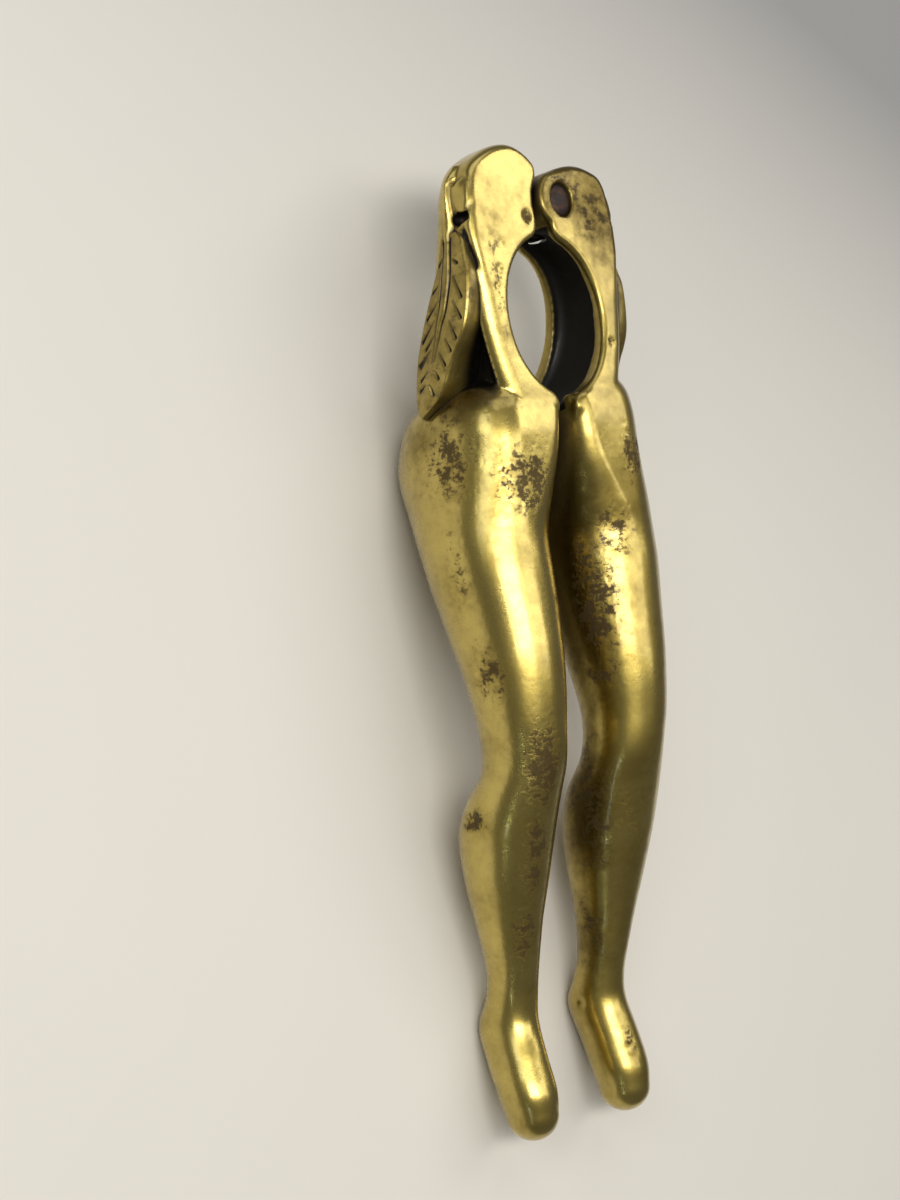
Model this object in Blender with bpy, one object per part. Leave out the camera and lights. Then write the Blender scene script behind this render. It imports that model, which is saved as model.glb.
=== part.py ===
"""Brass nutcracker in the shape of a pair of legs, joined by one rivet at the head.

Frame: the nutcracker lies on its back. Z = 0 is the surface it lies on and +Z is the front of the legs.
+Y runs towards the head and -Y towards the toes. X = 0 is the plane between the two closed legs.
Lengths are in metres. Distances named "out" are measured sideways from X = 0, on either side.
"""

from dataclasses import dataclass
from math import acos, asin, atan2, cos, pi, radians, sin

import bmesh
import bpy
from mathutils import Matrix, Vector

# Overall places along the length
TOE_TIP = -0.0675
HEAD_TOP = 0.0675

# How the toes end: the power of their round end, and the share of their size left at the tip
TOE_ROUNDING = 2.0
TOE_TIP_SHARE = 0.14

# How far out the thigh reaches at its widest
THIGH_OUT = 0.0194

# Front of the head and of the belly
FRONT = 0.0223

# Rivet that the legs turn on
PIN_OUT = 0.0041
PIN_ALONG = 0.0604
PIN_RADIUS = 0.0015
PIN_CLEARANCE = 0.0003
RIVET_HEAD_RADIUS = 0.0023
RIVET_HEAD_DEPTH = 0.0010
RIVET_HEAD_SET_BACK = 0.0001
RIVET_BACK = 0.0150
RIVET_HEAD_DOME = 0.0003

# Lap joint: the left leg's lug lies in front of the right leg's, which reaches over on a neck
LUG_RADIUS = 0.0044
LUG_CLEARANCE = 0.0004
LAP_HEIGHT = 0.0183
LAP_CLEARANCE = 0.0003
NECK_ABOVE = 0.0042
NECK_BELOW = 0.0031
NECK_SWEEP_LENGTH = 0.0090
FRONT_RELIEF_RADIUS = 0.00665
FRONT_RELIEF_BELOW_PIN = 0.0010
OPENING_ANGLE = radians(60)
CLOSING_ANGLE = radians(3.5)

# Head: the frame of each leg above the hip
HEAD_FOOT = 0.0290
HEAD_FOOT_BACK = 0.0060
HEAD_KINK = 0.0570
HEAD_KINK_BACK = 0.0145
HEAD_TOP_BACK = 0.0157
HEAD_FOOT_NARROWING = 0.0008
HEAD_INNER = 0.0016
HEAD_FRONT_ROUNDING = 0.0018
HEAD_BACK_ROUNDING = 0.0028
RIM_ROUNDING = 0.0007

# Nut opening: an oval between the two heads, from front to back
NUT_CENTRE = 0.0440
NUT_HALF_WIDTH = 0.0093
NUT_HALF_LENGTH = 0.0110
NUT_MOUTH_ROUNDING = 0.0017

# The cut through the hip at the nut opening, in shares of the head's depth
NUT_FLARE_SHARE = 0.1
NUT_CUT_OVERRUN = 0.6

# Hollow behind the rims of the nut opening; a lower fullness power makes it fuller up to the rims
HOLLOW_HALF_WIDTH = 0.0113
HOLLOW_HALF_LENGTH = 0.0122
HOLLOW_FULLNESS = 0.5
RIM_THICKNESS = 0.0020

# Groove between the leaf and the front arm of the head
GROOVE_TOP = 0.0450
GROOVE_FLOOR_TOP = 0.0128
GROOVE_FLOOR_FOOT = 0.0107
GROOVE_BACK = 0.0135
FRONT_ARM_THICKNESS = 0.0021

# Leaf on the outer side of each head
LEAF_OUT_AT_BASE = 0.0149
LEAF_OUT_AT_TIP = 0.0178
LEAF_ROOT_OUT = 0.0100
LEAF_SIDE_SLOPE = 0.0004
LEAF_EDGE_DROP = 0.0003
LEAF_VEIN_LEAN = 0.65
MIDRIB_HALF_WIDTH = 0.0005
MIDRIB_SHARE = 0.4
MIDRIB_PROUD = 0.0004
VEIN_PAIRS = 8
VEIN_WIDTH = 0.0005
VEIN_DEPTH = 0.00035
VEIN_FIRST = 0.10
VEIN_LAST = 0.86
VEIN_REACH = 0.85

# Oval boss in front of the stem, and the small pocket between the boss and the leaf
STEM_HALF_WIDTH = 0.0006
BOSS_ALONG = 0.0601
BOSS_HEIGHT = 0.0206
BOSS_HALF_LENGTH = 0.0022
BOSS_HALF_WIDTH = 0.0014
BOSS_OUT = 0.0149
BOSS_ROOT_OUT = 0.0120
BOSS_EDGE = 0.0003
POCKET_TOP = 0.0577
POCKET_FOOT = 0.0562
POCKET_BACK = 0.0189
POCKET_FRONT = 0.0211
POCKET_FLOOR_OUT = 0.0136

# Mesh fineness
CORNER_POINTS = 7
HOLLOW_STEPS = 9
RING_SPACING = 0.0024
ROUND_POINTS = 32
OVAL_POINTS = 44
LUG_POINTS = 18
OUTLINE_STEPS = 2
LEAF_STEPS = 3
EDGE_STEPS = 3
FADE_POINTS = 6
TOE_STEPS = (1.0, 0.88, 0.68, 0.44, 0.2)
SHARP_ANGLE = radians(40)
MERGE_DISTANCE = 0.000001


@dataclass
class Section:
    """One cross-section of a leg: where it is, its four sides and how round its corners are."""

    along: float
    inner: float
    outer: float
    back: float
    front: float
    front_inner: float = 1.0
    front_outer: float = 1.0


TOES = Section(along=-0.0640, inner=0.0060, outer=0.0130, back=0.0027, front=0.0103)
BALL = Section(along=-0.0610, inner=0.0056, outer=0.0135, back=0.0019, front=0.0104)
ARCH = Section(along=-0.0565, inner=0.0055, outer=0.0134, back=0.0005, front=0.0094)
HEEL = Section(along=-0.0515, inner=0.0052, outer=0.0130, back=-0.0007, front=0.0083)
HEEL_TOP = Section(along=-0.0480, inner=0.0055, outer=0.0125, back=0.0011, front=0.0088)
ANKLE = Section(along=-0.0445, inner=0.0058, outer=0.0127, back=0.0023, front=0.0099)
SHIN = Section(along=-0.0380, inner=0.0055, outer=0.0142, back=0.0025, front=0.0121)
CALF_LOW = Section(along=-0.0310, inner=0.0045, outer=0.0160, back=0.0023, front=0.0147)
CALF = Section(along=-0.0250, inner=0.0040, outer=0.0169, back=0.0028, front=0.0169)
CALF_TOP = Section(along=-0.0210, inner=0.0041, outer=0.0166, back=0.0046, front=0.0185)
KNEE_HOLLOW = Section(along=-0.0165, inner=0.0045, outer=0.0156, back=0.0081, front=0.0204)
KNEE = Section(along=-0.0110, inner=0.0046, outer=0.0162, back=0.0089, front=0.0216)
LOWER_THIGH = Section(along=-0.0040, inner=0.0038, outer=0.0171, back=0.0078, front=0.0224)
THIGH = Section(along=0.0030, inner=0.0031, outer=0.0181, back=0.0060, front=0.02255)
UPPER_THIGH = Section(along=0.0095, inner=0.0029, outer=THIGH_OUT - 0.0003, back=0.0047, front=0.02255)
GROIN = Section(along=0.0145, inner=0.0025, outer=THIGH_OUT, back=0.0036, front=0.0224)
HIP_LOW = Section(
    along=0.0185, inner=0.0018, outer=THIGH_OUT - 0.0004, back=0.0020, front=0.0226,
    front_inner=0.85, front_outer=0.97,
)
HIP = Section(
    along=0.0250, inner=0.0013, outer=0.0179, back=-0.0005, front=0.0227, front_inner=0.5, front_outer=0.86
)
HIP_TOP = Section(
    along=0.0298, inner=0.0013, outer=0.0175, back=0.0007, front=0.0227, front_inner=0.25, front_outer=0.86
)
SHOULDER_LOW = Section(
    along=0.0328, inner=0.0013, outer=0.0167, back=0.0026, front=0.0222, front_inner=0.2, front_outer=0.88
)
SHOULDER = Section(
    along=0.0351, inner=0.0014, outer=0.0145, back=0.0055, front=0.0209, front_inner=0.25, front_outer=0.95
)
SHOULDER_END = Section(
    along=0.0371, inner=0.0016, outer=0.0112, back=0.0095, front=0.0178, front_inner=0.4, front_outer=1.0
)

SECTIONS = [
    TOES, BALL, ARCH, HEEL, HEEL_TOP, ANKLE, SHIN, CALF_LOW, CALF, CALF_TOP, KNEE_HOLLOW, KNEE,
    LOWER_THIGH, THIGH, UPPER_THIGH, GROIN, HIP_LOW, HIP, HIP_TOP, SHOULDER_LOW, SHOULDER, SHOULDER_END,
]

# Outline of a head seen from the front, from the belly up the outer side and over the top
ARM_OUTLINE = [
    (0.0108, 0.0305),
    (0.0124, 0.0360),
    (0.0136, 0.0410),
    (0.0143, 0.0460),
    (0.0146, 0.0510),
    (0.0148, 0.0560),
    (0.0145, 0.0605),
    (0.0132, 0.0640),
]
RIGHT_DOME = [(0.0105, 0.0661), (0.0072, 0.0674), (0.0045, HEAD_TOP), (0.0020, 0.0664), (0.0003, 0.0649)]
LEFT_DOME = [(0.0110, 0.0652), (0.0082, 0.0657), (0.0055, 0.0653), (0.0032, 0.0646), (0.0016, 0.0640)]

# Centre line of the stem, from the top of the head to the leaf: places along, heights and distances out
STEM = [
    (0.0646, 0.0193, 0.0131),
    (0.0626, 0.0190, 0.0147),
    (0.0600, 0.0187, 0.0151),
    (0.0569, 0.0182, 0.0151),
]

# Leaf seen from the side, as places along and heights, from its base to its tip
LEAF_FRONT_EDGE = [
    (0.0556, 0.0203), (0.0520, 0.0208), (0.0486, 0.0213), (0.0452, 0.0210), (0.0418, 0.0199),
    (0.0384, 0.0178), (0.0348, 0.0159), (0.0316, 0.0120),
]
LEAF_MIDRIB = [
    (0.0556, 0.0180), (0.0520, 0.0176), (0.0486, 0.0171), (0.0452, 0.0163), (0.0418, 0.0152),
    (0.0384, 0.0141), (0.0348, 0.0128), (0.0316, 0.0117),
]
LEAF_BACK_EDGE = [
    (0.0556, 0.0168), (0.0520, 0.0157), (0.0486, 0.0144), (0.0452, 0.0128), (0.0418, 0.0116),
    (0.0384, 0.0107), (0.0348, 0.0104), (0.0316, 0.0114),
]


def clear_scene():
    for item in list(bpy.data.objects):
        bpy.data.objects.remove(item, do_unlink=True)


def make_material(name, colour, metallic, roughness):
    material = bpy.data.materials.new(name)
    material.use_nodes = True
    shader = material.node_tree.nodes["Principled BSDF"]
    shader.inputs["Base Color"].default_value = (*colour, 1.0)
    shader.inputs["Metallic"].default_value = metallic
    shader.inputs["Roughness"].default_value = roughness
    return material


def new_object(name, shape):
    """Turns a bmesh into an object, with every face pointing out."""
    shape.normal_update()
    bmesh.ops.recalc_face_normals(shape, faces=shape.faces[:])
    mesh = bpy.data.meshes.new(name)
    shape.to_mesh(mesh)
    shape.free()
    mesh.shade_smooth()
    mesh.set_sharp_from_angle(angle=SHARP_ANGLE)
    item = bpy.data.objects.new(name, mesh)
    bpy.context.scene.collection.objects.link(item)
    return item


def combine(target, tool, operation):
    """Joins a tool to the target, or cuts it out; the tool stays behind as a guide."""
    step = target.modifiers.new(tool.name, "BOOLEAN")
    step.operation = operation
    step.solver = "EXACT"
    step.object = tool
    tool.hide_render = True
    tool.display_type = "WIRE"


def spline(points, steps):
    """Points along a smooth curve that passes through the given ones."""
    vectors = [Vector(point) for point in points]
    ends = [2 * vectors[0] - vectors[1]] + vectors + [2 * vectors[-1] - vectors[-2]]
    curve = []
    for index in range(1, len(ends) - 2):
        before, start, stop, after = ends[index - 1:index + 3]
        for step in range(steps):
            t = step / steps
            curve.append(
                0.5 * (2 * start + (stop - before) * t
                       + (2 * before - 5 * start + 4 * stop - after) * t ** 2
                       + (3 * start - before - 3 * stop + after) * t ** 3)
            )
    curve.append(vectors[-1])
    return curve


def on_curve(curve, share):
    """A point on a curve, at a share of its points."""
    place = min(max(share, 0.0), 1.0) * (len(curve) - 1)
    index = min(int(place), len(curve) - 2)
    return curve[index].lerp(curve[index + 1], place - index)


def arc(centre, radius, start, stop, steps):
    """Points on a circle, from one angle to another."""
    angles = [start + (stop - start) * step / steps for step in range(steps + 1)]
    return [Vector((centre[0] + radius * cos(a), centre[1] + radius * sin(a))) for a in angles]


def circle(centre, radius):
    return arc(centre, radius, 0, 2 * pi * (1 - 1 / ROUND_POINTS), ROUND_POINTS - 1)


def loft(name, rings):
    """A closed solid through rings of equal numbers of points."""
    shape = bmesh.new()
    rows = [[shape.verts.new(point) for point in ring] for ring in rings]
    for lower, upper in zip(rows, rows[1:]):
        count = len(lower)
        for index in range(count):
            following = (index + 1) % count
            shape.faces.new((lower[index], lower[following], upper[following], upper[index]))
    shape.faces.new(rows[0][::-1])
    shape.faces.new(rows[-1])
    return new_object(name, shape)


def upright(name, outline, bottom, top):
    """A straight-sided solid on an outline seen from the front."""
    return loft(name, [[Vector((p.x, p.y, z)) for p in outline] for z in (bottom, top)])


# The leg, from the toes to the shoulder of the hip

def section_between(along):
    """The leg's section at any place, on smooth curves through the named sections."""
    index = sum(section.along <= along for section in SECTIONS[1:-1])
    low, high = SECTIONS[index], SECTIONS[index + 1]
    before = SECTIONS[max(index - 1, 0)]
    after = SECTIONS[min(index + 2, len(SECTIONS) - 1)]
    span = high.along - low.along
    t = (along - low.along) / span

    def between(field):
        values = [getattr(section, field) for section in (before, low, high, after)]
        slope_low = (values[2] - values[0]) / (high.along - before.along) * span
        slope_high = (values[3] - values[1]) / (after.along - low.along) * span
        return (
            (2 * t ** 3 - 3 * t ** 2 + 1) * values[1] + (t ** 3 - 2 * t ** 2 + t) * slope_low
            + (3 * t ** 2 - 2 * t ** 3) * values[2] + (t ** 3 - t ** 2) * slope_high
        )

    sides = ("inner", "outer", "back", "front", "front_inner", "front_outer")
    return Section(along, *(between(side) for side in sides))


def ring_points(section, side, shrink=1.0):
    """The closed outline of a section; what would lie below the table is worn flat."""
    middle = (section.inner + section.outer) / 2
    height = (section.back + section.front) / 2
    half_width = (section.outer - section.inner) / 2 * shrink
    half_depth = (section.front - section.back) / 2 * shrink
    corners = [(1, 1, section.front_outer), (-1, 1, section.front_inner), (-1, -1, 1.0), (1, -1, 1.0)]
    points = []
    for quarter, (across, up, roundness) in enumerate(corners):
        for step in range(CORNER_POINTS):
            angle = (quarter + (step + 0.5) / CORNER_POINTS) * pi / 2
            out = middle + half_width * (across * (1 - roundness) + roundness * cos(angle))
            z = height + half_depth * (up * (1 - roundness) + roundness * sin(angle))
            points.append(Vector((side * out, section.along, max(z, 0.0))))
    return points


def leg_body(name, side):
    """The leg without its head, from the tip of the toes to the shoulder of the hip."""
    rings = []
    toe_length = TOES.along - TOE_TIP
    for step in TOE_STEPS:
        toe = Section(TOES.along - step * toe_length, TOES.inner, TOES.outer, TOES.back, TOES.front)
        rings.append(ring_points(toe, side, shrink=max((1 - step ** TOE_ROUNDING) ** 0.5, TOE_TIP_SHARE)))
    length = SHOULDER_END.along - TOES.along
    count = round(length / RING_SPACING)
    for step in range(count + 1):
        rings.append(ring_points(section_between(TOES.along + length * step / count), side))
    return loft(name, rings)


# The head: arms, outer wall and hinge lug

def back_at(along):
    """Height of the back of the head, which slopes down from its top to the hip and has one bend."""
    if along > HEAD_KINK:
        share = (along - HEAD_KINK) / (HEAD_TOP - HEAD_KINK)
        return HEAD_KINK_BACK + (HEAD_TOP_BACK - HEAD_KINK_BACK) * share
    share = (along - HEAD_FOOT) / (HEAD_KINK - HEAD_FOOT)
    return HEAD_FOOT_BACK + (HEAD_KINK_BACK - HEAD_FOOT_BACK) * share


def height_at(along, share):
    """Height in the head: 0 at its back, 1 at its front."""
    return back_at(along) + share * (FRONT - back_at(along))


def oval(growth, start, stop, steps):
    """Part of the outline of the nut opening; angles are measured from straight out."""
    points = []
    for step in range(steps + 1):
        angle = start + (stop - start) * step / steps
        out = (NUT_HALF_WIDTH + growth) * cos(angle)
        points.append(Vector((out, NUT_CENTRE + (NUT_HALF_LENGTH + growth) * sin(angle))))
    return points


def rounded(before, corner, after):
    """Replaces a corner of the nut opening's mouth with a smooth curve."""
    start = corner + (before - corner).normalized() * NUT_MOUTH_ROUNDING
    stop = corner + (after - corner).normalized() * NUT_MOUTH_ROUNDING
    shares = [step / EDGE_STEPS for step in range(EDGE_STEPS + 1)]
    return [(1 - t) ** 2 * start + 2 * t * (1 - t) * corner + t ** 2 * stop for t in shares]


def right_lug():
    """The right leg's lug, which lies across the middle, and the neck that carries it."""
    centre = (-PIN_OUT, PIN_ALONG)
    start = asin(NECK_ABOVE / LUG_RADIUS)
    stop = 2 * pi - asin(NECK_BELOW / LUG_RADIUS)
    return arc(centre, LUG_RADIUS, start, stop, LUG_POINTS) + [Vector((HEAD_INNER, PIN_ALONG - NECK_BELOW))]


def left_lug():
    """The left leg's lug, between the top of the head and its inner side."""
    top = Vector(LEFT_DOME[-1])
    start = atan2(top.y - PIN_ALONG, top.x - PIN_OUT)
    stop = 2 * pi - acos((HEAD_INNER - PIN_OUT) / LUG_RADIUS)
    return arc((PIN_OUT, PIN_ALONG), LUG_RADIUS, start, stop, LUG_POINTS)[1:-1]


def outer_side(dome):
    """Outline of the head from the inner end of its foot, up the outer side and over the top."""
    foot_out = ARM_OUTLINE[0][0] - HEAD_FOOT_NARROWING
    foot = [Vector((HEAD_INNER, HEAD_FOOT)), Vector((foot_out, HEAD_FOOT))]
    return foot + spline(ARM_OUTLINE + dome, OUTLINE_STEPS)


def inner_side(lug):
    """Outline of the head from its lug down the edge of the nut opening to the foot."""
    mouth = acos((HEAD_INNER + NUT_MOUTH_ROUNDING) / NUT_HALF_WIDTH)
    opening = oval(0.0, mouth, -mouth, OVAL_POINTS // 2)
    corner = Vector((HEAD_INNER, NUT_CENTRE + NUT_HALF_LENGTH))
    upper = rounded(lug[-1], corner, opening[0])
    corner = Vector((HEAD_INNER, NUT_CENTRE - NUT_HALF_LENGTH))
    lower = rounded(opening[-1], corner, Vector((HEAD_INNER, HEAD_FOOT)))
    return lug + upper + opening[1:-1] + lower


def inset(outline, depths):
    """The outline moved in, towards its own left, by each point's own depth."""
    moved = []
    for index, point in enumerate(outline):
        behind = (point - outline[index - 1]).normalized()
        ahead = (outline[(index + 1) % len(outline)] - point).normalized()
        along = (behind + ahead).normalized()
        moved.append(point + Vector((-along.y, along.x)) * depths[index])
    return moved


def head_frame(side, dome, lug):
    """The arms and the wall of a head, as one slab with a sloping back and rounded edges."""
    outer, inner = outer_side(dome), inner_side(lug)
    outline = outer + inner
    shares = [min((len(outer) - index) / FADE_POINTS, 1.0) for index in range(len(outer))]
    radii = []
    for rounding in (HEAD_BACK_ROUNDING, HEAD_FRONT_ROUNDING):
        faded = [RIM_ROUNDING + (rounding - RIM_ROUNDING) * share for share in shares]
        radii.append(faded + [RIM_ROUNDING] * len(inner))
    back, front = radii
    angles = [pi / 2 * step / EDGE_STEPS for step in range(EDGE_STEPS + 1)]
    rings = []
    for a in angles:
        moved = inset(outline, [radius * (1 - sin(a)) for radius in back])
        rings.append([(p.x, p.y, back_at(p.y) + radius * (1 - cos(a))) for p, radius in zip(moved, back)])
    for a in angles[::-1]:
        moved = inset(outline, [radius * (1 - sin(a)) for radius in front])
        rings.append([(p.x, p.y, FRONT - radius * (1 - cos(a))) for p, radius in zip(moved, front)])
    head = loft("head_frame", [[Vector((side * x, y, z)) for x, y, z in ring] for ring in rings])
    shape = bmesh.new()
    shape.from_mesh(head.data)
    whole = shape.verts[:] + shape.edges[:] + shape.faces[:]
    across = {"plane_co": (0, HEAD_KINK, 0), "plane_no": (0, 1, 0)}
    bmesh.ops.bisect_plane(shape, geom=whole, dist=MERGE_DISTANCE, **across)
    shape.to_mesh(head.data)
    shape.free()
    return head


def nut_passage(side):
    """What the oval takes out of the hip, with a flare where it meets the front and the back."""
    rings = []
    beyond, flare = NUT_CUT_OVERRUN, NUT_FLARE_SHARE
    for share, growth in ((-beyond, 1), (0, 1), (flare, 0), (1 - flare, 0), (1, 1), (1 + beyond, 1)):
        outline = oval(growth * RIM_ROUNDING, 0, 2 * pi * (1 - 1 / OVAL_POINTS), OVAL_POINTS - 1)
        rings.append([Vector((side * p.x, p.y, height_at(p.y, share))) for p in outline])
    return loft("nut_passage", rings)


def nut_hollow(side):
    """The hollow behind the rims, which leaves the rims at their thickness."""
    wider = Vector((HOLLOW_HALF_WIDTH / NUT_HALF_WIDTH, HOLLOW_HALF_LENGTH / NUT_HALF_LENGTH))
    turn = 2 * pi * (1 - 1 / OVAL_POINTS)
    narrow = oval(-RIM_ROUNDING, 0, turn, OVAL_POINTS - 1)
    wide = [
        Vector((p.x * wider.x, NUT_CENTRE + (p.y - NUT_CENTRE) * wider.y))
        for p in oval(0.0, 0, turn, OVAL_POINTS - 1)
    ]
    half_height = 0.5 - RIM_THICKNESS / (FRONT - back_at(NUT_CENTRE))
    rings = []
    for step in range(HOLLOW_STEPS + 1):
        angle = pi * (step / HOLLOW_STEPS - 0.5)
        outline = [a.lerp(b, max(cos(angle), 0.0) ** HOLLOW_FULLNESS) for a, b in zip(narrow, wide)]
        share = 0.5 + half_height * sin(angle)
        rings.append([Vector((side * p.x, p.y, height_at(p.y, share))) for p in outline])
    return loft("nut_hollow", rings)


def groove(side):
    """The groove between the leaf and the front arm, which opens at the hip."""
    rings = []
    for along, floor in ((HEAD_FOOT, GROOVE_FLOOR_FOOT), (GROOVE_TOP, GROOVE_FLOOR_TOP)):
        outside = LEAF_OUT_AT_TIP
        front = FRONT - FRONT_ARM_THICKNESS
        corners = ((floor, GROOVE_BACK), (outside, GROOVE_BACK), (outside, front), (floor, front))
        rings.append([Vector((side * out, along, z)) for out, z in corners])
    return loft("groove", rings)


# The leaf, its stem and the boss

def blade_row(side, rib, edges, depth):
    """One row across the leaf or its stem, from root to root; depth sinks its face into a vein."""
    halves = []
    for edge, direction in zip(edges, (-1, 1)):
        foot = rib.lerp(edge, min(MIDRIB_HALF_WIDTH / (edge - rib).length, MIDRIB_SHARE))
        end = rib.lerp(edge, VEIN_REACH)
        places = [(foot, depth), ((foot + end) / 2, depth), (end, depth), (edge, LEAF_EDGE_DROP)]
        points = [(place.x, place.y, place.z - sunk) for place, sunk in places]
        points.append((edge.x, edge.y + direction * LEAF_SIDE_SLOPE, LEAF_ROOT_OUT))
        halves.append(points)
    back, front = halves
    crest = (rib.x, rib.y, rib.z + MIDRIB_PROUD)
    return [Vector((side * out, along, z)) for along, z, out in back[::-1] + [crest] + front]


def on_leaf(place):
    """A point on the leaf's face, for a place along its length and its height."""
    base, tip = LEAF_MIDRIB[0][0], LEAF_MIDRIB[-1][0]
    share = (base - place.x) / (base - tip)
    return Vector((place.x, place.y, LEAF_OUT_AT_BASE + (LEAF_OUT_AT_TIP - LEAF_OUT_AT_BASE) * share))


def leaf(side):
    """The leaf and its stem: a raised blade with a midrib and pairs of side veins cut into its face."""
    rings = []
    for place in spline(STEM, OUTLINE_STEPS):
        edges = [place + Vector((0, offset, 0)) for offset in (-STEM_HALF_WIDTH, STEM_HALF_WIDTH)]
        rings.append(blade_row(side, place, edges, 0.0))
    half_vein = VEIN_WIDTH / 2 / (LEAF_MIDRIB[0][0] - LEAF_MIDRIB[-1][0])
    rows = [(0.0, 0.0), (VEIN_FIRST / 2, 0.0)]
    for vein in range(VEIN_PAIRS):
        share = VEIN_FIRST + (VEIN_LAST - VEIN_FIRST) * vein / (VEIN_PAIRS - 1)
        rows += [(share - half_vein, 0.0), (share, VEIN_DEPTH), (share + half_vein, 0.0)]
    rows += [((1 + VEIN_LAST) / 2, 0.0), (1.0, 0.0)]
    lines = (LEAF_MIDRIB, LEAF_BACK_EDGE, LEAF_FRONT_EDGE)
    midrib, back, front = (spline(line, LEAF_STEPS) for line in lines)
    for share, depth in rows:
        edges = [on_leaf(on_curve(line, share ** LEAF_VEIN_LEAN)) for line in (back, front)]
        rings.append(blade_row(side, on_leaf(on_curve(midrib, share)), edges, depth))
    return loft("leaf", rings)


def boss(side):
    """The oval boss on the outer side of the head, in front of the stem."""
    rings = []
    for out, edge in ((BOSS_ROOT_OUT, 0.0), (BOSS_OUT - BOSS_EDGE, 0.0), (BOSS_OUT, BOSS_EDGE)):
        length, width = BOSS_HALF_LENGTH - edge, BOSS_HALF_WIDTH - edge
        ring = [Vector((side * out, BOSS_ALONG + length * p.x, BOSS_HEIGHT + width * p.y))
                for p in circle((0, 0), 1)]
        rings.append(ring)
    return loft("boss", rings)


def pocket(side):
    """The small pocket between the boss, the stem and the base of the leaf."""
    foot = [(POCKET_FOOT, POCKET_BACK), (POCKET_FOOT, POCKET_FRONT)]
    top = [(POCKET_TOP, POCKET_FRONT), (POCKET_TOP, POCKET_BACK)]
    depths = (POCKET_FLOOR_OUT, STEM[-1][2])
    return loft("pocket", [[Vector((side * out, *corner)) for corner in foot + top] for out in depths])


# The two legs and the rivet

def make_leg(name, side, dome, lug, brass):
    """One half of the nutcracker, with a whole lug and no room yet for the other one."""
    leg = leg_body(name, side)
    combine(leg, nut_passage(side), "DIFFERENCE")
    head = head_frame(side, dome, lug)
    combine(head, groove(side), "DIFFERENCE")
    combine(head, pocket(side), "DIFFERENCE")
    combine(leg, head, "UNION")
    combine(leg, leaf(side), "UNION")
    combine(leg, boss(side), "UNION")
    combine(leg, nut_hollow(side), "DIFFERENCE")
    leg.data.materials.append(brass)
    return leg


def keep_flats_flat(leg):
    """Shades the large flat faces flat, beside their rounded edges."""
    shading = leg.modifiers.new("shading", "WEIGHTED_NORMAL")
    shading.keep_sharp = True


def cut_rivet_hole(leg, steps):
    """The bore for the rivet's shank and the round seat for its head, as (height, radius) steps."""
    rings = []
    for height, radius in steps:
        outline = circle((PIN_OUT, PIN_ALONG), radius + PIN_CLEARANCE)
        rings.append([Vector((p.x, p.y, height)) for p in outline])
    combine(leg, loft("rivet_hole", rings), "DIFFERENCE")


def make_right_leg(brass):
    """The leg whose lug lies at the back, with room in front of it for the other lug."""
    leg = make_leg("right_leg", -1, RIGHT_DOME, right_lug(), brass)
    centre = (PIN_OUT, PIN_ALONG - FRONT_RELIEF_BELOW_PIN)
    bottom = LAP_HEIGHT - LAP_CLEARANCE / 2
    relief = upright("front_relief", circle(centre, FRONT_RELIEF_RADIUS), bottom, FRONT + LUG_RADIUS)
    combine(leg, relief, "DIFFERENCE")
    seat = RIVET_BACK + RIVET_HEAD_DEPTH + PIN_CLEARANCE
    head = RIVET_HEAD_RADIUS
    cut_rivet_hole(leg, [(0, head), (seat, head), (seat, PIN_RADIUS), (FRONT, PIN_RADIUS)])
    return leg


def swept_by_neck():
    """Outline of what the right leg's lug and neck sweep, seen from the left leg as it swings."""
    pin = Vector((PIN_OUT, PIN_ALONG))
    radius = LUG_RADIUS + LUG_CLEARANCE
    lower = NECK_BELOW + LUG_CLEARANCE
    upper = NECK_ABOVE + LUG_CLEARANCE
    lower_angle = pi + CLOSING_ANGLE
    upper_angle = pi - OPENING_ANGLE
    start = lower_angle + asin(lower / radius)
    stop = 2 * pi + upper_angle - asin(upper / radius)
    outline = arc(pin, radius, start, stop, LUG_POINTS)
    along_upper = Vector((cos(upper_angle), sin(upper_angle)))
    along_lower = Vector((cos(lower_angle), sin(lower_angle)))
    outline.append(outline[-1] + NECK_SWEEP_LENGTH * along_upper)
    outline.append(outline[0] + NECK_SWEEP_LENGTH * along_lower)
    return outline


def make_left_leg(brass):
    """The leg whose lug lies at the front; the rivet's visible head is sunk in it."""
    leg = make_leg("left_leg", 1, LEFT_DOME, left_lug(), brass)
    relief = upright("back_relief", swept_by_neck(), 0, LAP_HEIGHT + LAP_CLEARANCE / 2)
    combine(leg, relief, "DIFFERENCE")
    seat = FRONT - RIVET_HEAD_SET_BACK - RIVET_HEAD_DEPTH - PIN_CLEARANCE
    head, top = RIVET_HEAD_RADIUS, FRONT + LUG_RADIUS
    cut_rivet_hole(leg, [(0, PIN_RADIUS), (seat, PIN_RADIUS), (seat, head), (top, head)])
    return leg


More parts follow.
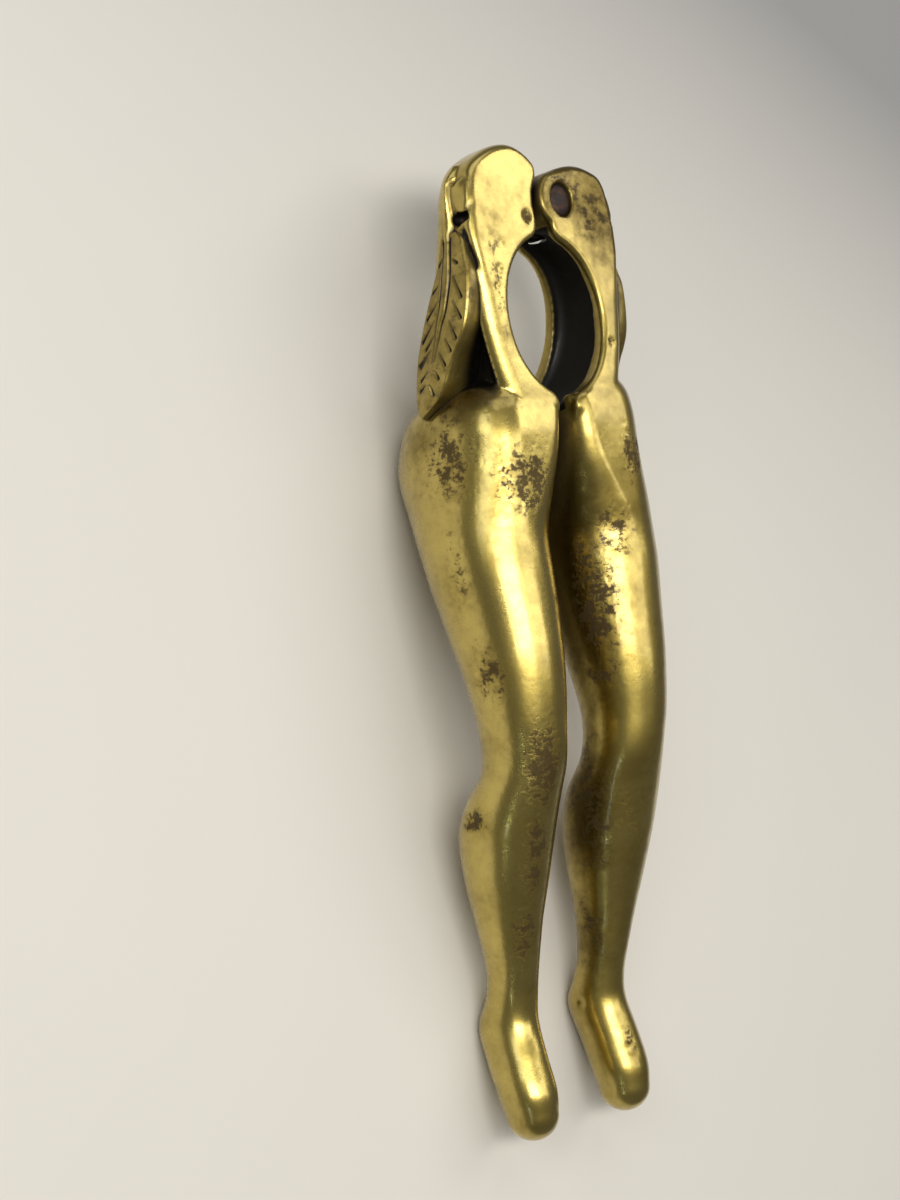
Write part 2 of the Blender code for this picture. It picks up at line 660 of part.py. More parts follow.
def make_rivet(iron):
    """The rivet: a round shank with a low head at each end, turned about its own axis."""
    top = FRONT - RIVET_HEAD_SET_BACK
    half = (top - RIVET_BACK) / 2
    profile = [
        (0.0, half), (RIVET_HEAD_RADIUS / 2, half - RIVET_HEAD_DOME / 4),
        (RIVET_HEAD_RADIUS, half - RIVET_HEAD_DOME), (RIVET_HEAD_RADIUS, half - RIVET_HEAD_DEPTH),
        (PIN_RADIUS, half - RIVET_HEAD_DEPTH),
    ]
    profile += [(radius, -height) for radius, height in profile[::-1]]
    shape = bmesh.new()
    line = [shape.verts.new((radius, 0, height)) for radius, height in profile]
    edges = [shape.edges.new(pair) for pair in zip(line, line[1:])]
    turn = {"cent": (0, 0, 0), "axis": (0, 0, 1), "angle": 2 * pi, "steps": ROUND_POINTS}
    bmesh.ops.spin(shape, geom=line + edges, use_merge=True, **turn)
    bmesh.ops.remove_doubles(shape, verts=shape.verts[:], dist=MERGE_DISTANCE)
    rivet = new_object("hinge_pin", shape)
    rivet.location = (PIN_OUT, PIN_ALONG, RIVET_BACK + half)
    rivet.data.materials.append(iron)
    return rivet


def make_hinge_axis():
    """An empty on the rivet's axis, which carries the leg that swings."""
    axis = bpy.data.objects.new("hinge_axis", None)
    axis.empty_display_size = LUG_RADIUS
    axis.location = (PIN_OUT, PIN_ALONG, LAP_HEIGHT)
    bpy.context.scene.collection.objects.link(axis)
    return axis


def main():
    clear_scene()
    brass = make_material("Brass", (0.62, 0.46, 0.18), 1.0, 0.32)
    iron = make_material("Iron", (0.09, 0.07, 0.06), 0.9, 0.55)
    right_leg = make_right_leg(brass)
    left_leg = make_left_leg(brass)
    for leg in (right_leg, left_leg):
        keep_flats_flat(leg)
    axis = make_hinge_axis()
    left_leg.parent = axis
    left_leg.matrix_parent_inverse = Matrix.Translation(-axis.location)
    make_rivet(iron)


main()
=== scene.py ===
"""Looks of a cast brass nutcracker: two legs with hollowed heads that turn on one iron rivet.

The nutcracker lies on its back: +Z is the front of the legs and +Y runs towards the heads.
Tables of shapes are in millimetres, and everything that is built from them is in metres.
"Out" is the distance sideways from the plane between the two legs, on either side.
"""

import logging
from collections.abc import Iterator, Sequence
from contextlib import contextmanager
from dataclasses import dataclass, field, replace
from enum import Enum
from math import acos, asin, atan2, cos, e, pi, radians, sin, sqrt, tan
from typing import Any

import bmesh
import bpy
import numpy as np
from mathutils import Matrix, Vector, noise
from mathutils.bvhtree import BVHTree


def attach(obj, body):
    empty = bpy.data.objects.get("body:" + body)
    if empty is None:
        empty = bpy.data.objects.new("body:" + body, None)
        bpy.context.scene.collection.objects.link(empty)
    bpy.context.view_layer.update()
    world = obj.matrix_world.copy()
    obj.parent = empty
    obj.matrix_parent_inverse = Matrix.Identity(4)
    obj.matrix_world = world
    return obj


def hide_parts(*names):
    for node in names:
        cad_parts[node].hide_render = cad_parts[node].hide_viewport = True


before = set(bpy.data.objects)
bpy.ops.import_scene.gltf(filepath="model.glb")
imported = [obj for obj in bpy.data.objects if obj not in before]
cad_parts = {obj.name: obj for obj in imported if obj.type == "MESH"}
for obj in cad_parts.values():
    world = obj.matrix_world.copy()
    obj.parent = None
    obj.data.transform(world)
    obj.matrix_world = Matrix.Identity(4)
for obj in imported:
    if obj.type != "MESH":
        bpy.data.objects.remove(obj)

LOG = logging.getLogger("nutcracker")
MM = 0.001
PHOTO_HEIGHT = 1200
REACH_OF_SHADE = 11.0
SHADE_RAYS = 9
SHADE_BLURS = 6
SHADE_START = 0.05

Ring = list[Vector]


# Modelling by hand


def deselect_all() -> None:
    """Leaves nothing selected, because an operator acts on all that is selected."""
    bpy.ops.object.select_all(action="DESELECT")


def take(piece: bpy.types.Object) -> None:
    """Makes one piece the only selected and active one."""
    deselect_all()
    piece.select_set(True)
    bpy.context.view_layer.objects.active = piece


@contextmanager
def editing(piece: bpy.types.Object) -> Iterator[None]:
    """Edit mode on one piece, with all of it selected."""
    take(piece)
    bpy.ops.object.mode_set(mode="EDIT")
    bpy.ops.mesh.select_all(action="SELECT")
    yield
    bpy.ops.object.mode_set(mode="OBJECT")


def place_last_ring(piece: bpy.types.Object, ring: Sequence[Vector]) -> None:
    """Moves the ring that was made last to its points.

    Args:
        piece: the piece, in edit mode.
        ring: the ring's points, in metres.
    """
    shape = bmesh.from_edit_mesh(piece.data)
    shape.verts.ensure_lookup_table()
    for vert, point in zip(shape.verts[-len(ring):], ring):
        vert.co = point
    bmesh.update_edit_mesh(piece.data)


def skin(name: str, rings: Sequence[Sequence[Vector]]) -> bpy.types.Object:
    """Makes a closed solid by extruding a filled circle from ring to ring.

    Args:
        name: name of the new piece.
        rings: rings of equal numbers of points, in metres.

    Returns:
        The new piece, with its faces pointing out.
    """
    deselect_all()
    bpy.ops.mesh.primitive_circle_add(vertices=len(rings[0]), radius=MM, fill_type="NGON")
    piece = bpy.context.object
    piece.name = name
    bpy.ops.object.mode_set(mode="EDIT")
    place_last_ring(piece, rings[0])
    for ring in rings[1:]:
        bpy.ops.mesh.extrude_region_move()
        place_last_ring(piece, ring)
    bpy.ops.mesh.select_all(action="SELECT")
    bpy.ops.mesh.normals_make_consistent(inside=False)
    bpy.ops.object.mode_set(mode="OBJECT")
    return piece


def finish_with(piece: bpy.types.Object, kind: str, **settings: Any) -> None:
    """Adds a modifier to a piece and applies it.

    Args:
        piece: the piece to change.
        kind: the modifier's type.
        settings: values of the modifier's own properties.
    """
    take(piece)
    modifier = piece.modifiers.new(kind.lower(), kind)
    for key, value in settings.items():
        setattr(modifier, key, value)
    bpy.ops.object.modifier_apply(modifier=modifier.name)


def combine(piece: bpy.types.Object, tool: bpy.types.Object, operation: str) -> None:
    """Joins a tool to a piece or cuts it out, and takes the tool away.

    Args:
        piece: the piece to change.
        tool: the solid that is used up.
        operation: UNION or DIFFERENCE.
    """
    finish_with(piece, "BOOLEAN", object=tool, operation=operation, solver="EXACT")
    bpy.data.objects.remove(tool)


def places_of(piece: bpy.types.Object) -> np.ndarray:
    """The points of a piece in millimetres, one in each row."""
    return np.array([tuple(vert.co) for vert in piece.data.vertices]) / MM


def set_attribute(piece: bpy.types.Object, name: str, values: Sequence[float]) -> None:
    """Stores one number for each point of a piece."""
    attribute = piece.data.attributes.new(name, "FLOAT", "POINT")
    attribute.data.foreach_set("value", np.asarray(values, np.float32))


# Outlines


def spline(points: Sequence[Sequence[float]], steps: int) -> Ring:
    """Points along a smooth curve through the given ones.

    Args:
        points: the points that the curve passes through.
        steps: number of steps between two of them.

    Returns:
        The curve's points.
    """
    vectors = [Vector(point) for point in points]
    ends = [2 * vectors[0] - vectors[1]] + vectors + [2 * vectors[-1] - vectors[-2]]
    curve = []
    for before, start, stop, after in zip(ends, ends[1:], ends[2:], ends[3:]):
        for step in range(steps):
            t = step / steps
            curve.append(
                0.5 * (2 * start + (stop - before) * t
                       + (2 * before - 5 * start + 4 * stop - after) * t ** 2
                       + (3 * start - before - 3 * stop + after) * t ** 3)
            )
    curve.append(vectors[-1])
    return curve


def arc(centre: Sequence[float], radius: float, start: float, stop: float, steps: int) -> Ring:
    """Points on a circle, from one angle to another.

    Args:
        centre: the circle's centre.
        radius: the circle's radius.
        start: first angle.
        stop: last angle.
        steps: number of steps between them.

    Returns:
        The arc's points.
    """
    angles = [start + (stop - start) * step / steps for step in range(steps + 1)]
    return [Vector((centre[0] + radius * cos(a), centre[1] + radius * sin(a))) for a in angles]


def full_circle(centre: Sequence[float], radius: float, count: int) -> Ring:
    """A full circle of evenly spaced points."""
    return arc(centre, radius, 0, 2 * pi * (1 - 1 / count), count - 1)


def inset(outline: Sequence[Vector], depths: Sequence[float]) -> Ring:
    """Moves an outline in, towards its own left.

    Args:
        outline: the closed outline.
        depths: how far each of its points moves.

    Returns:
        The moved outline.
    """
    moved = []
    for index, point in enumerate(outline):
        behind = (point - outline[index - 1]).normalized()
        ahead = (outline[(index + 1) % len(outline)] - point).normalized()
        along = (behind + ahead).normalized()
        moved.append(point + Vector((-along.y, along.x)) * depths[index])
    return moved


def upright(name: str, outline: Sequence[Vector], bottom: float, top: float) -> bpy.types.Object:
    """A straight-sided solid on an outline in millimetres that is seen from the front."""
    return skin(name, [[Vector((p.x, p.y, z)) * MM for p in outline] for z in (bottom, top)])


class Side(Enum):
    """The side of the middle plane that a leg lies on."""

    RIGHT = -1
    LEFT = 1


@dataclass(frozen=True)
class Section:
    """One cross-section of a leg: its place, its four sides and how round its front corners are."""

    along: float
    inner: float
    outer: float
    back: float
    front: float
    front_inner: float = 1.0
    front_outer: float = 1.0


SIDES_OF_SECTION = ("inner", "outer", "back", "front", "front_inner", "front_outer")

LEG_SECTIONS = (
    Section(-64.0, 6.0, 13.0, 2.7, 10.3),
    Section(-61.0, 5.6, 13.5, 1.9, 10.4),
    Section(-56.5, 5.5, 13.4, 0.5, 9.4),
    Section(-51.5, 5.2, 13.0, -0.7, 8.3),
    Section(-48.0, 5.5, 12.5, 1.1, 8.8),
    Section(-44.5, 5.8, 12.7, 2.3, 9.9),
    Section(-38.0, 5.5, 14.2, 2.5, 12.1),
    Section(-31.0, 4.5, 16.0, 2.3, 14.7),
    Section(-25.0, 4.0, 16.9, 2.8, 16.9),
    Section(-21.0, 4.1, 16.6, 4.6, 18.5),
    Section(-16.5, 4.5, 15.6, 8.1, 20.4),
    Section(-11.0, 4.6, 16.2, 8.9, 21.6),
    Section(-4.0, 3.8, 17.1, 7.8, 22.4),
    Section(3.0, 3.1, 18.1, 6.0, 22.55),
    Section(9.5, 2.9, 19.1, 4.7, 22.55),
    Section(14.5, 2.5, 19.4, 3.6, 22.4),
    Section(18.5, 1.8, 19.0, 2.0, 22.6, 0.85, 0.97),
    Section(25.0, 1.3, 17.9, -0.5, 22.7, 0.5, 0.88),
    Section(29.8, 1.3, 17.5, 0.7, 22.7, 0.32, 0.88),
    Section(32.8, 1.3, 16.7, 2.6, 22.2, 0.25, 0.9),
    Section(35.1, 1.4, 14.5, 5.5, 20.9, 0.3, 0.95),
    Section(37.1, 1.6, 11.2, 9.5, 17.8, 0.4, 1.0),
)

# Outline of a head seen from the front, from the belly up the outer side, and then over the top
ARM_OUTLINE = (
    (10.8, 30.5), (12.4, 36.0), (13.6, 41.0), (14.3, 46.0),
    (14.6, 51.0), (14.8, 56.0), (14.5, 60.5), (13.2, 64.0),
)
RIGHT_DOME = ((10.5, 66.1), (7.2, 67.4), (4.5, 67.5), (2.0, 66.4), (0.3, 64.9))
LEFT_DOME = ((11.0, 65.2), (8.2, 65.7), (5.5, 65.3), (3.2, 64.6), (1.6, 64.0))


@dataclass
class LegBody:
    """The leg from the tip of the toes to the shoulder of the hip."""

    toe_tip: float = -67.5
    toe_rings: int = 14
    toe_rounding: float = 2.0
    toe_tip_share: float = 0.06
    shoulder_from: float = 27.0
    shoulder_shift: float = 0.0
    ring_spacing: float = 0.7
    corner_points: int = 16

    def sections(self) -> list[Section]:
        """The named sections, with the shoulder of the hip where it lies on this leg."""
        sections = []
        for section in LEG_SECTIONS:
            shift = self.shoulder_shift if section.along > self.shoulder_from else 0.0
            sections.append(replace(section, along=section.along + shift))
        return sections

    def section(self, along: float) -> Section:
        """The section at any place, on smooth curves through the named ones.

        Args:
            along: the place along the leg.

        Returns:
            The section there.
        """
        sections = self.sections()
        index = sum(section.along <= along for section in sections[1:-1])
        low, high = sections[index], sections[index + 1]
        before = sections[max(index - 1, 0)]
        after = sections[min(index + 2, len(sections) - 1)]
        span = high.along - low.along
        t = (along - low.along) / span
        values = []
        for side in SIDES_OF_SECTION:
            a, b, c, d = (getattr(section, side) for section in (before, low, high, after))
            slope_low = (c - a) / (high.along - before.along) * span
            slope_high = (d - b) / (after.along - low.along) * span
            values.append(
                (2 * t ** 3 - 3 * t ** 2 + 1) * b + (t ** 3 - 2 * t ** 2 + t) * slope_low
                + (3 * t ** 2 - 2 * t ** 3) * c + (t ** 3 - t ** 2) * slope_high
            )
        return Section(along, *values)

    def ring(self, section: Section, side: Side, shrink: float = 1.0) -> Ring:
        """The closed outline of a section, worn flat where it would lie below the table.

        Args:
            section: the section.
            side: the side that the leg lies on.
            shrink: share of the section's size, for the rounded toes.

        Returns:
            The ring's points in metres.
        """
        middle = (section.inner + section.outer) / 2
        height = (section.back + section.front) / 2
        half_width = (section.outer - section.inner) / 2 * shrink
        half_depth = (section.front - section.back) / 2 * shrink
        corners = [(1, 1, section.front_outer), (-1, 1, section.front_inner), (-1, -1, 1.0), (1, -1, 1.0)]
        points = []
        for quarter, (across, up, roundness) in enumerate(corners):
            for step in range(self.corner_points):
                angle = (quarter + (step + 0.5) / self.corner_points) * pi / 2
                out = middle + half_width * (across * (1 - roundness) + roundness * cos(angle))
                z = height + half_depth * (up * (1 - roundness) + roundness * sin(angle))
                points.append(Vector((side.value * out, section.along, max(z, 0.0))) * MM)
        return points

    def build(self, side: Side) -> bpy.types.Object:
        """Extrudes the leg from ring to ring.

        Args:
            side: the side that the leg lies on.

        Returns:
            The leg without its head.
        """
        toes, *_, shoulder = self.sections()
        rings = []
        for index in range(self.toe_rings, 0, -1):
            step = sin(index / self.toe_rings * pi / 2)
            shrink = max((1 - step ** self.toe_rounding) ** 0.5, self.toe_tip_share)
            cap = replace(toes, along=toes.along - step * (toes.along - self.toe_tip))
            rings.append(self.ring(cap, side, shrink))
        length = shoulder.along - toes.along
        count = round(length / self.ring_spacing)
        for step in range(count + 1):
            rings.append(self.ring(self.section(toes.along + length * step / count), side))
        return skin("leg", rings)


@dataclass
class Hinge:
    """The places of the rivet, of the two lugs and of the lap between them."""

    out: float = 4.1
    along: float = 60.4
    pin_radius: float = 1.5
    head_radius: float = 2.3
    head_depth: float = 1.0
    head_width: float = 0.84
    set_back: float = 0.1
    back: float = 15.0
    clearance: float = 0.12
    lug_radius: float = 4.4
    lug_clearance: float = 0.4
    lap_height: float = 18.3
    lap_clearance: float = 0.3
    neck_above: float = 4.2
    neck_below: float = 3.1
    neck_reach: float = 9.0
    relief_radius: float = 6.2
    relief_below: float = 1.0
    corner: tuple = (
        (-1.38, 62.3), (-0.9, 63.1), (-0.62, 63.9), (-0.62, 64.6),
        (-0.95, 65.35), (-1.6, 66.0), (-2.4, 66.6),
        (-3.3, 67.15), (-3.3, 69.0), (4.0, 69.0), (4.0, 62.3),
    )
    opening: float = radians(60)
    closing: float = radians(3.5)
    steps: int = 40

    def right_lug(self, inner: float) -> Ring:
        """Outline of the right leg's lug, which lies across the middle, and of its neck."""
        start = asin(self.neck_above / self.lug_radius)
        stop = 2 * pi - asin(self.neck_below / self.lug_radius)
        outline = arc((-self.out, self.along), self.lug_radius, start, stop, self.steps)
        return outline + [Vector((inner, self.along - self.neck_below))]

    def left_lug(self, inner: float) -> Ring:
        """Outline of the left leg's lug, from the top of the head to its inner side."""
        top = Vector(LEFT_DOME[-1])
        start = atan2(top.y - self.along, top.x - self.out)
        stop = 2 * pi - acos((inner - self.out) / self.lug_radius)
        return arc((self.out, self.along), self.lug_radius, start, stop, self.steps)[1:-1]

    def swept_by_neck(self) -> Ring:
        """Outline of what the right leg's lug and neck sweep, seen from the swinging left leg."""
        radius = self.lug_radius + self.lug_clearance
        lower, upper = self.neck_below + self.lug_clearance, self.neck_above + self.lug_clearance
        lower_angle, upper_angle = pi + self.closing, pi - self.opening
        start = lower_angle + asin(lower / radius)
        stop = 2 * pi + upper_angle - asin(upper / radius)
        outline = arc((self.out, self.along), radius, start, stop, self.steps)
        outline.append(outline[-1] + self.neck_reach * Vector((cos(upper_angle), sin(upper_angle))))
        outline.append(outline[0] + self.neck_reach * Vector((cos(lower_angle), sin(lower_angle))))
        return outline

    def bore(self, leg: bpy.types.Object, steps: Sequence[tuple[float, float]]) -> None:
        """Cuts the bore of the rivet and the seat of its head.

        Args:
            leg: the leg to cut.
            steps: heights and radii along the cut.
        """
        rings = [self.oval(radius, self.clearance, height, self.steps) for height, radius in steps]
        combine(leg, skin("bore", rings), "DIFFERENCE")

    def oval(self, radius: float, clearance: float, height: float, count: int) -> Ring:
        """A ring around the rivet's axis, in metres. It is oval where it belongs to a rivet head.

        Args:
            radius: its half length along the legs.
            clearance: what is added all around.
            height: its height.
            count: number of its points.

        Returns:
            The ring's points.
        """
        width = self.head_width if radius > self.pin_radius else 1.0
        outline = full_circle((0, 0), 1, count)
        x, y = radius * width + clearance, radius + clearance
        return [Vector((self.out + p.x * x, self.along + p.y * y, height)) * MM for p in outline]


@dataclass
class Head:
    """The frame of a leg above the hip: its arms, the rims of the nut opening and the hollow."""

    foot: float = 29.0
    foot_back: float = 6.0
    kink: float = 57.0
    kink_back: float = 14.5
    top: float = 67.5
    top_back: float = 15.7
    front: float = 22.3
    foot_narrowing: float = 0.8
    inner: float = 1.6
    front_rounding: float = 1.2
    arm_rounding: float = 2.3
    rounder_below: tuple = (46.0, 53.0)
    back_rounding: float = 2.8
    rim_rounding: float = 0.7
    nut_centre: float = 44.0
    nut_half_width: float = 9.3
    nut_half_length: float = 11.0
    mouth_rounding: float = 1.7
    hollow_half_width: float = 11.6
    hollow_half_length: float = 12.4
    hollow_fullness: float = 0.45
    hollow_steps: int = 16
    rim_thickness: float = 1.9
    groove_top: float = 45.5
    groove_floor_top: float = 12.9
    groove_floor_foot: float = 10.9
    groove_back: float = 13.5
    groove_shade_width: float = 2.0
    groove_margin: float = 1.0
    groove_reach: float = 1.5
    groove_fade_top: float = 4.0
    groove_fade_foot: float = 3.0
    arm_thickness: float = 2.1
    reach_out: float = 17.8
    outline_steps: int = 6
    oval_steps: int = 60
    edge_steps: int = 5
    fade_points: int = 18
    tool_overrun: float = 0.6
    flare: float = 0.1
    dark_margin: float = 0.5
    dark_from: float = 0.30
    dark_fade: float = 0.10

    def back_at(self, along: float) -> float:
        """Height of the head's back, which slopes down to the hip and has one bend."""
        if along > self.kink:
            share = (along - self.kink) / (self.top - self.kink)
            return self.kink_back + (self.top_back - self.kink_back) * share
        share = (along - self.foot) / (self.kink - self.foot)
        return self.foot_back + (self.kink_back - self.foot_back) * share

    def height_at(self, along: float, share: float) -> float:
        """Height in the head: 0 at its back, 1 at its front."""
        return self.back_at(along) + share * (self.front - self.back_at(along))

    def oval(self, growth: float, start: float, stop: float, steps: int) -> Ring:
        """Part of the outline of the nut opening.

        Args:
            growth: how much larger than the opening it is.
            start: first angle, measured from straight out.
            stop: last angle.
            steps: number of steps.

        Returns:
            The outline's points.
        """
        points = []
        for step in range(steps + 1):
            angle = start + (stop - start) * step / steps
            along = self.nut_centre + (self.nut_half_length + growth) * sin(angle)
            points.append(Vector(((self.nut_half_width + growth) * cos(angle), along)))
        return points

    def whole_oval(self, growth: float) -> Ring:
        """The whole outline of the nut opening, grown on all sides."""
        return self.oval(growth, 0, 2 * pi * (1 - 1 / self.oval_steps), self.oval_steps - 1)

    def lifted(self, outline: Sequence[Vector], share: float, side: Side) -> Ring:
        """An outline at a share of the head's height, in metres."""
        return [Vector((side.value * p.x, p.y, self.height_at(p.y, share))) * MM for p in outline]

    def rounded(self, before: Vector, corner: Vector, after: Vector) -> Ring:
        """Replaces a corner of the nut opening's mouth with a smooth curve."""
        start = corner + (before - corner).normalized() * self.mouth_rounding
        stop = corner + (after - corner).normalized() * self.mouth_rounding
        shares = [step / self.edge_steps for step in range(self.edge_steps + 1)]
        return [(1 - t) ** 2 * start + 2 * t * (1 - t) * corner + t ** 2 * stop for t in shares]

    def outline(self, dome: Sequence[tuple[float, float]], lug: Ring) -> tuple[Ring, Ring]:
        """Outline of the head, as its outer and its inner side.

        Args:
            dome: points over the top of the head.
            lug: outline of the lug.

        Returns:
            The outer side from the foot over the top, and the inner side back to the foot.
        """
        foot = [Vector((self.inner, self.foot)), Vector((ARM_OUTLINE[0][0] - self.foot_narrowing, self.foot))]
        outer = foot + spline(ARM_OUTLINE + tuple(dome), self.outline_steps)
        mouth = acos((self.inner + self.mouth_rounding) / self.nut_half_width)
        opening = self.oval(0.0, mouth, -mouth, self.oval_steps)
        upper_corner = Vector((self.inner, self.nut_centre + self.nut_half_length))
        lower_corner = Vector((self.inner, self.nut_centre - self.nut_half_length))
        upper = self.rounded(lug[-1], upper_corner, opening[0])
        lower = self.rounded(opening[-1], lower_corner, Vector((self.inner, self.foot)))
        return outer, lug + upper + opening[1:-1] + lower

    def slab(self, side: Side, dome: Sequence[tuple[float, float]], lug: Ring) -> bpy.types.Object:
        """The arms and the wall of a head, as one slab with a sloping back and rounded edges.

        Args:
            side: the side that the leg lies on.
            dome: points over the top of the head.
            lug: outline of the lug.

        Returns:
            The slab.
        """
        outer, inner = self.outline(dome, lug)
        outline = outer + inner
        shares = [min((len(outer) - index) / self.fade_points, 1.0) for index in range(len(outer))]
        edges = []
        rim, back = self.rim_rounding, self.back_rounding
        for upper, lower in ((back, back), (self.front_rounding, self.arm_rounding)):
            wanted = [np.interp(point.y, self.rounder_below, (lower, upper)) for point in outer]
            faded = [rim + (radius - rim) * share for radius, share in zip(wanted, shares)]
            edges.append(faded + [rim] * len(inner))
        angles = [pi / 2 * step / self.edge_steps for step in range(self.edge_steps + 1)]
        rings = []
        back_edges, front_edges = edges
        for a in angles:
            moved = inset(outline, [radius * (1 - sin(a)) for radius in back_edges])
            heights = [self.back_at(p.y) + radius * (1 - cos(a)) for p, radius in zip(moved, back_edges)]
            rings.append([(p.x, p.y, height) for p, height in zip(moved, heights)])
        for a in angles[::-1]:
            moved = inset(outline, [radius * (1 - sin(a)) for radius in front_edges])
            heights = [self.front - radius * (1 - cos(a)) for radius in front_edges]
            rings.append([(p.x, p.y, height) for p, height in zip(moved, heights)])
        piece = skin("head", [[Vector((side.value * x, y, z)) * MM for x, y, z in ring] for ring in rings])
        with editing(piece):
            bpy.ops.mesh.bisect(plane_co=(0, self.kink * MM, 0), plane_no=(0, 1, 0))
        return piece

    def passage(self, side: Side) -> bpy.types.Object:
        """What the nut opening takes out of the hip, with a flare at the front and the back.

        Args:
            side: the side that the leg lies on.

        Returns:
            The tool that cuts it.
        """
        rings = []
        beyond, flare = self.tool_overrun, self.flare
        for share, growth in ((-beyond, 1), (0, 1), (flare, 0), (1 - flare, 0), (1, 1), (1 + beyond, 1)):
            rings.append(self.lifted(self.whole_oval(growth * self.rim_rounding), share, side))
        return skin("passage", rings)

    def hollow(self, side: Side) -> bpy.types.Object:
        """The hollow behind the rims, which leaves the rims at their thickness.

        Args:
            side: the side that the leg lies on.

        Returns:
            The tool that cuts it.
        """
        narrow = self.whole_oval(-self.rim_rounding)
        wider = self.hollow_half_width / self.nut_half_width
        longer = self.hollow_half_length / self.nut_half_length
        middle = self.nut_centre
        wide = [Vector((p.x * wider, middle + (p.y - middle) * longer)) for p in self.whole_oval(0.0)]
        half_height = 0.5 - self.rim_thickness / (self.front - self.back_at(self.nut_centre))
        rings = []
        for step in range(self.hollow_steps + 1):
            angle = pi * (step / self.hollow_steps - 0.5)
            outline = [a.lerp(b, max(cos(angle), 0.0) ** self.hollow_fullness) for a, b in zip(narrow, wide)]
            rings.append(self.lifted(outline, 0.5 + half_height * sin(angle), side))
        return skin("hollow", rings)

    def depth_in_hollow(self, places: np.ndarray) -> np.ndarray:
        """How deep in the hollow places lie, from 0 on the rims to 1.

        Args:
            places: the places in millimetres, one in each row.

        Returns:
            The depth of each.
        """
        x, y, z = places.T
        back = np.interp(y, (self.foot, self.kink), (self.foot_back, self.kink_back))
        share = (z - back) / (self.front - back)
        across = np.abs(x) / (self.hollow_half_width + self.dark_margin)
        along = (y - self.nut_centre) / (self.hollow_half_length + self.dark_margin)
        # painted shade and dirt: the hollow behind the rims is blackened by this depth
        inside = (across ** 2 + along ** 2 < 1) & (share > 0) & (share < 1)
        return inside * np.clip(1 - (np.abs(share - 0.5) - self.dark_from) / self.dark_fade, 0, 1)

    def depth_in_groove(self, places: np.ndarray) -> np.ndarray:
        """How deep places lie in the groove between the leaf and the front arm, from 0 to 1.

        Args:
            places: the places in millimetres, one in each row.

        Returns:
            The depth of each.
        """
        x, y, z = np.abs(places[:, 0]), places[:, 1], places[:, 2]
        margin, reach = self.groove_margin, self.groove_reach
        # painted shade: the groove darkens within groove_shade_width of its floor
        depth = np.clip((self.groove_floor_top + self.groove_shade_width - x) / self.groove_shade_width, 0, 1)
        depth = depth * np.clip((self.groove_top + margin - y) / self.groove_fade_top, 0, 1)
        depth = depth * np.clip((y - self.foot - margin) / self.groove_fade_foot, 0, 1)
        inside = (x > self.groove_floor_foot - reach) & (z > self.groove_back - margin)
        return depth * (inside & (z < self.front - reach))

    def groove(self, side: Side) -> bpy.types.Object:
        """The groove between the leaf and the front arm, which opens at the hip."""
        rings = []
        low, high = self.groove_back, self.front - self.arm_thickness
        for along, floor in ((self.foot, self.groove_floor_foot), (self.groove_top, self.groove_floor_top)):
            corners = ((floor, low), (self.reach_out, low), (self.reach_out, high), (floor, high))
            rings.append([Vector((side.value * out, along, z)) * MM for out, z in corners])
        return skin("groove", rings)


# The leaf and what surrounds it, seen from the side, as places along and heights
LEAF_MIDRIB = (
    (55.4, 18.0), (53.2, 17.8), (49.3, 17.2), (46.0, 16.6),
    (44.0, 15.7), (42.0, 15.2), (40.0, 14.7), (36.0, 13.4),
    (33.5, 12.3), (31.4, 11.6),
)
LEAF_FRONT_EDGE = (
    (55.4, 19.7), (54.2, 20.5), (52.5, 20.8), (50.8, 21.1),
    (49.1, 21.4), (45.9, 21.1), (42.8, 20.4), (40.8, 19.4),
    (38.8, 18.0), (36.8, 16.9), (35.3, 16.2), (33.7, 15.1), (32.7, 13.7), (31.9, 12.5), (31.4, 11.8),
)
LEAF_BACK_EDGE = (
    (55.4, 16.6), (52.1, 15.7), (50.6, 15.2), (46.4, 13.3),
    (42.8, 11.9), (40.0, 11.0), (37.1, 10.5), (33.8, 10.3),
    (32.3, 10.6), (31.4, 11.4),
)
RIB_LINES = (
    (
        (54.6, 17.1), (53.4, 17.15), (49.5, 16.5), (47.1, 16.1), (44.7, 15.5), (43.2, 15.1), (40.8, 14.6),
        (38.6, 14.0),
    ),
    ((54.6, 18.5), (53.1, 18.4), (49.1, 18.0), (45.2, 17.0), (43.2, 16.0), (40.8, 15.2), (38.8, 14.5)),
)
LEAF_VEINS = (
    ((52.2, 16.7), (51.3, 15.9)), ((48.9, 15.9), (48.0, 14.5)), ((46.7, 15.6), (44.6, 13.2)),
    ((44.3, 14.8), (41.7, 12.2)), ((42.4, 14.8), (40.6, 12.8)), ((40.4, 13.9), (38.7, 11.3)),
    ((39.5, 13.1), (38.4, 11.6)), ((37.6, 13.0), (36.6, 11.6)), ((35.9, 12.5), (35.2, 11.3)),
    ((51.8, 18.7), (51.1, 19.5)), ((49.5, 18.7), (46.4, 20.0)), ((46.2, 18.5), (43.6, 19.7)),
    ((43.6, 17.6), (41.1, 18.6)), ((41.4, 16.7), (39.6, 17.5)), ((39.7, 15.4), (37.9, 16.3)),
    ((37.5, 14.4), (36.3, 15.0)), ((35.8, 13.4), (34.3, 13.9)),
)


def from_segment(
    points: np.ndarray, start: Sequence[float], stop: Sequence[float]
) -> tuple[np.ndarray, np.ndarray]:
    """Measures points in a plane against a straight line between two places.

    Args:
        points: the points, one in each row.
        start: the line's start.
        stop: the line's end.

    Returns:
        Each point's distance from the line, and the share of the line where it comes nearest.
    """
    offset = points - np.array(start)
    line = np.array(stop) - np.array(start)
    share = np.clip(offset @ line / (line @ line), 0, 1)
    return np.linalg.norm(offset - share[:, None] * line, axis=1), share


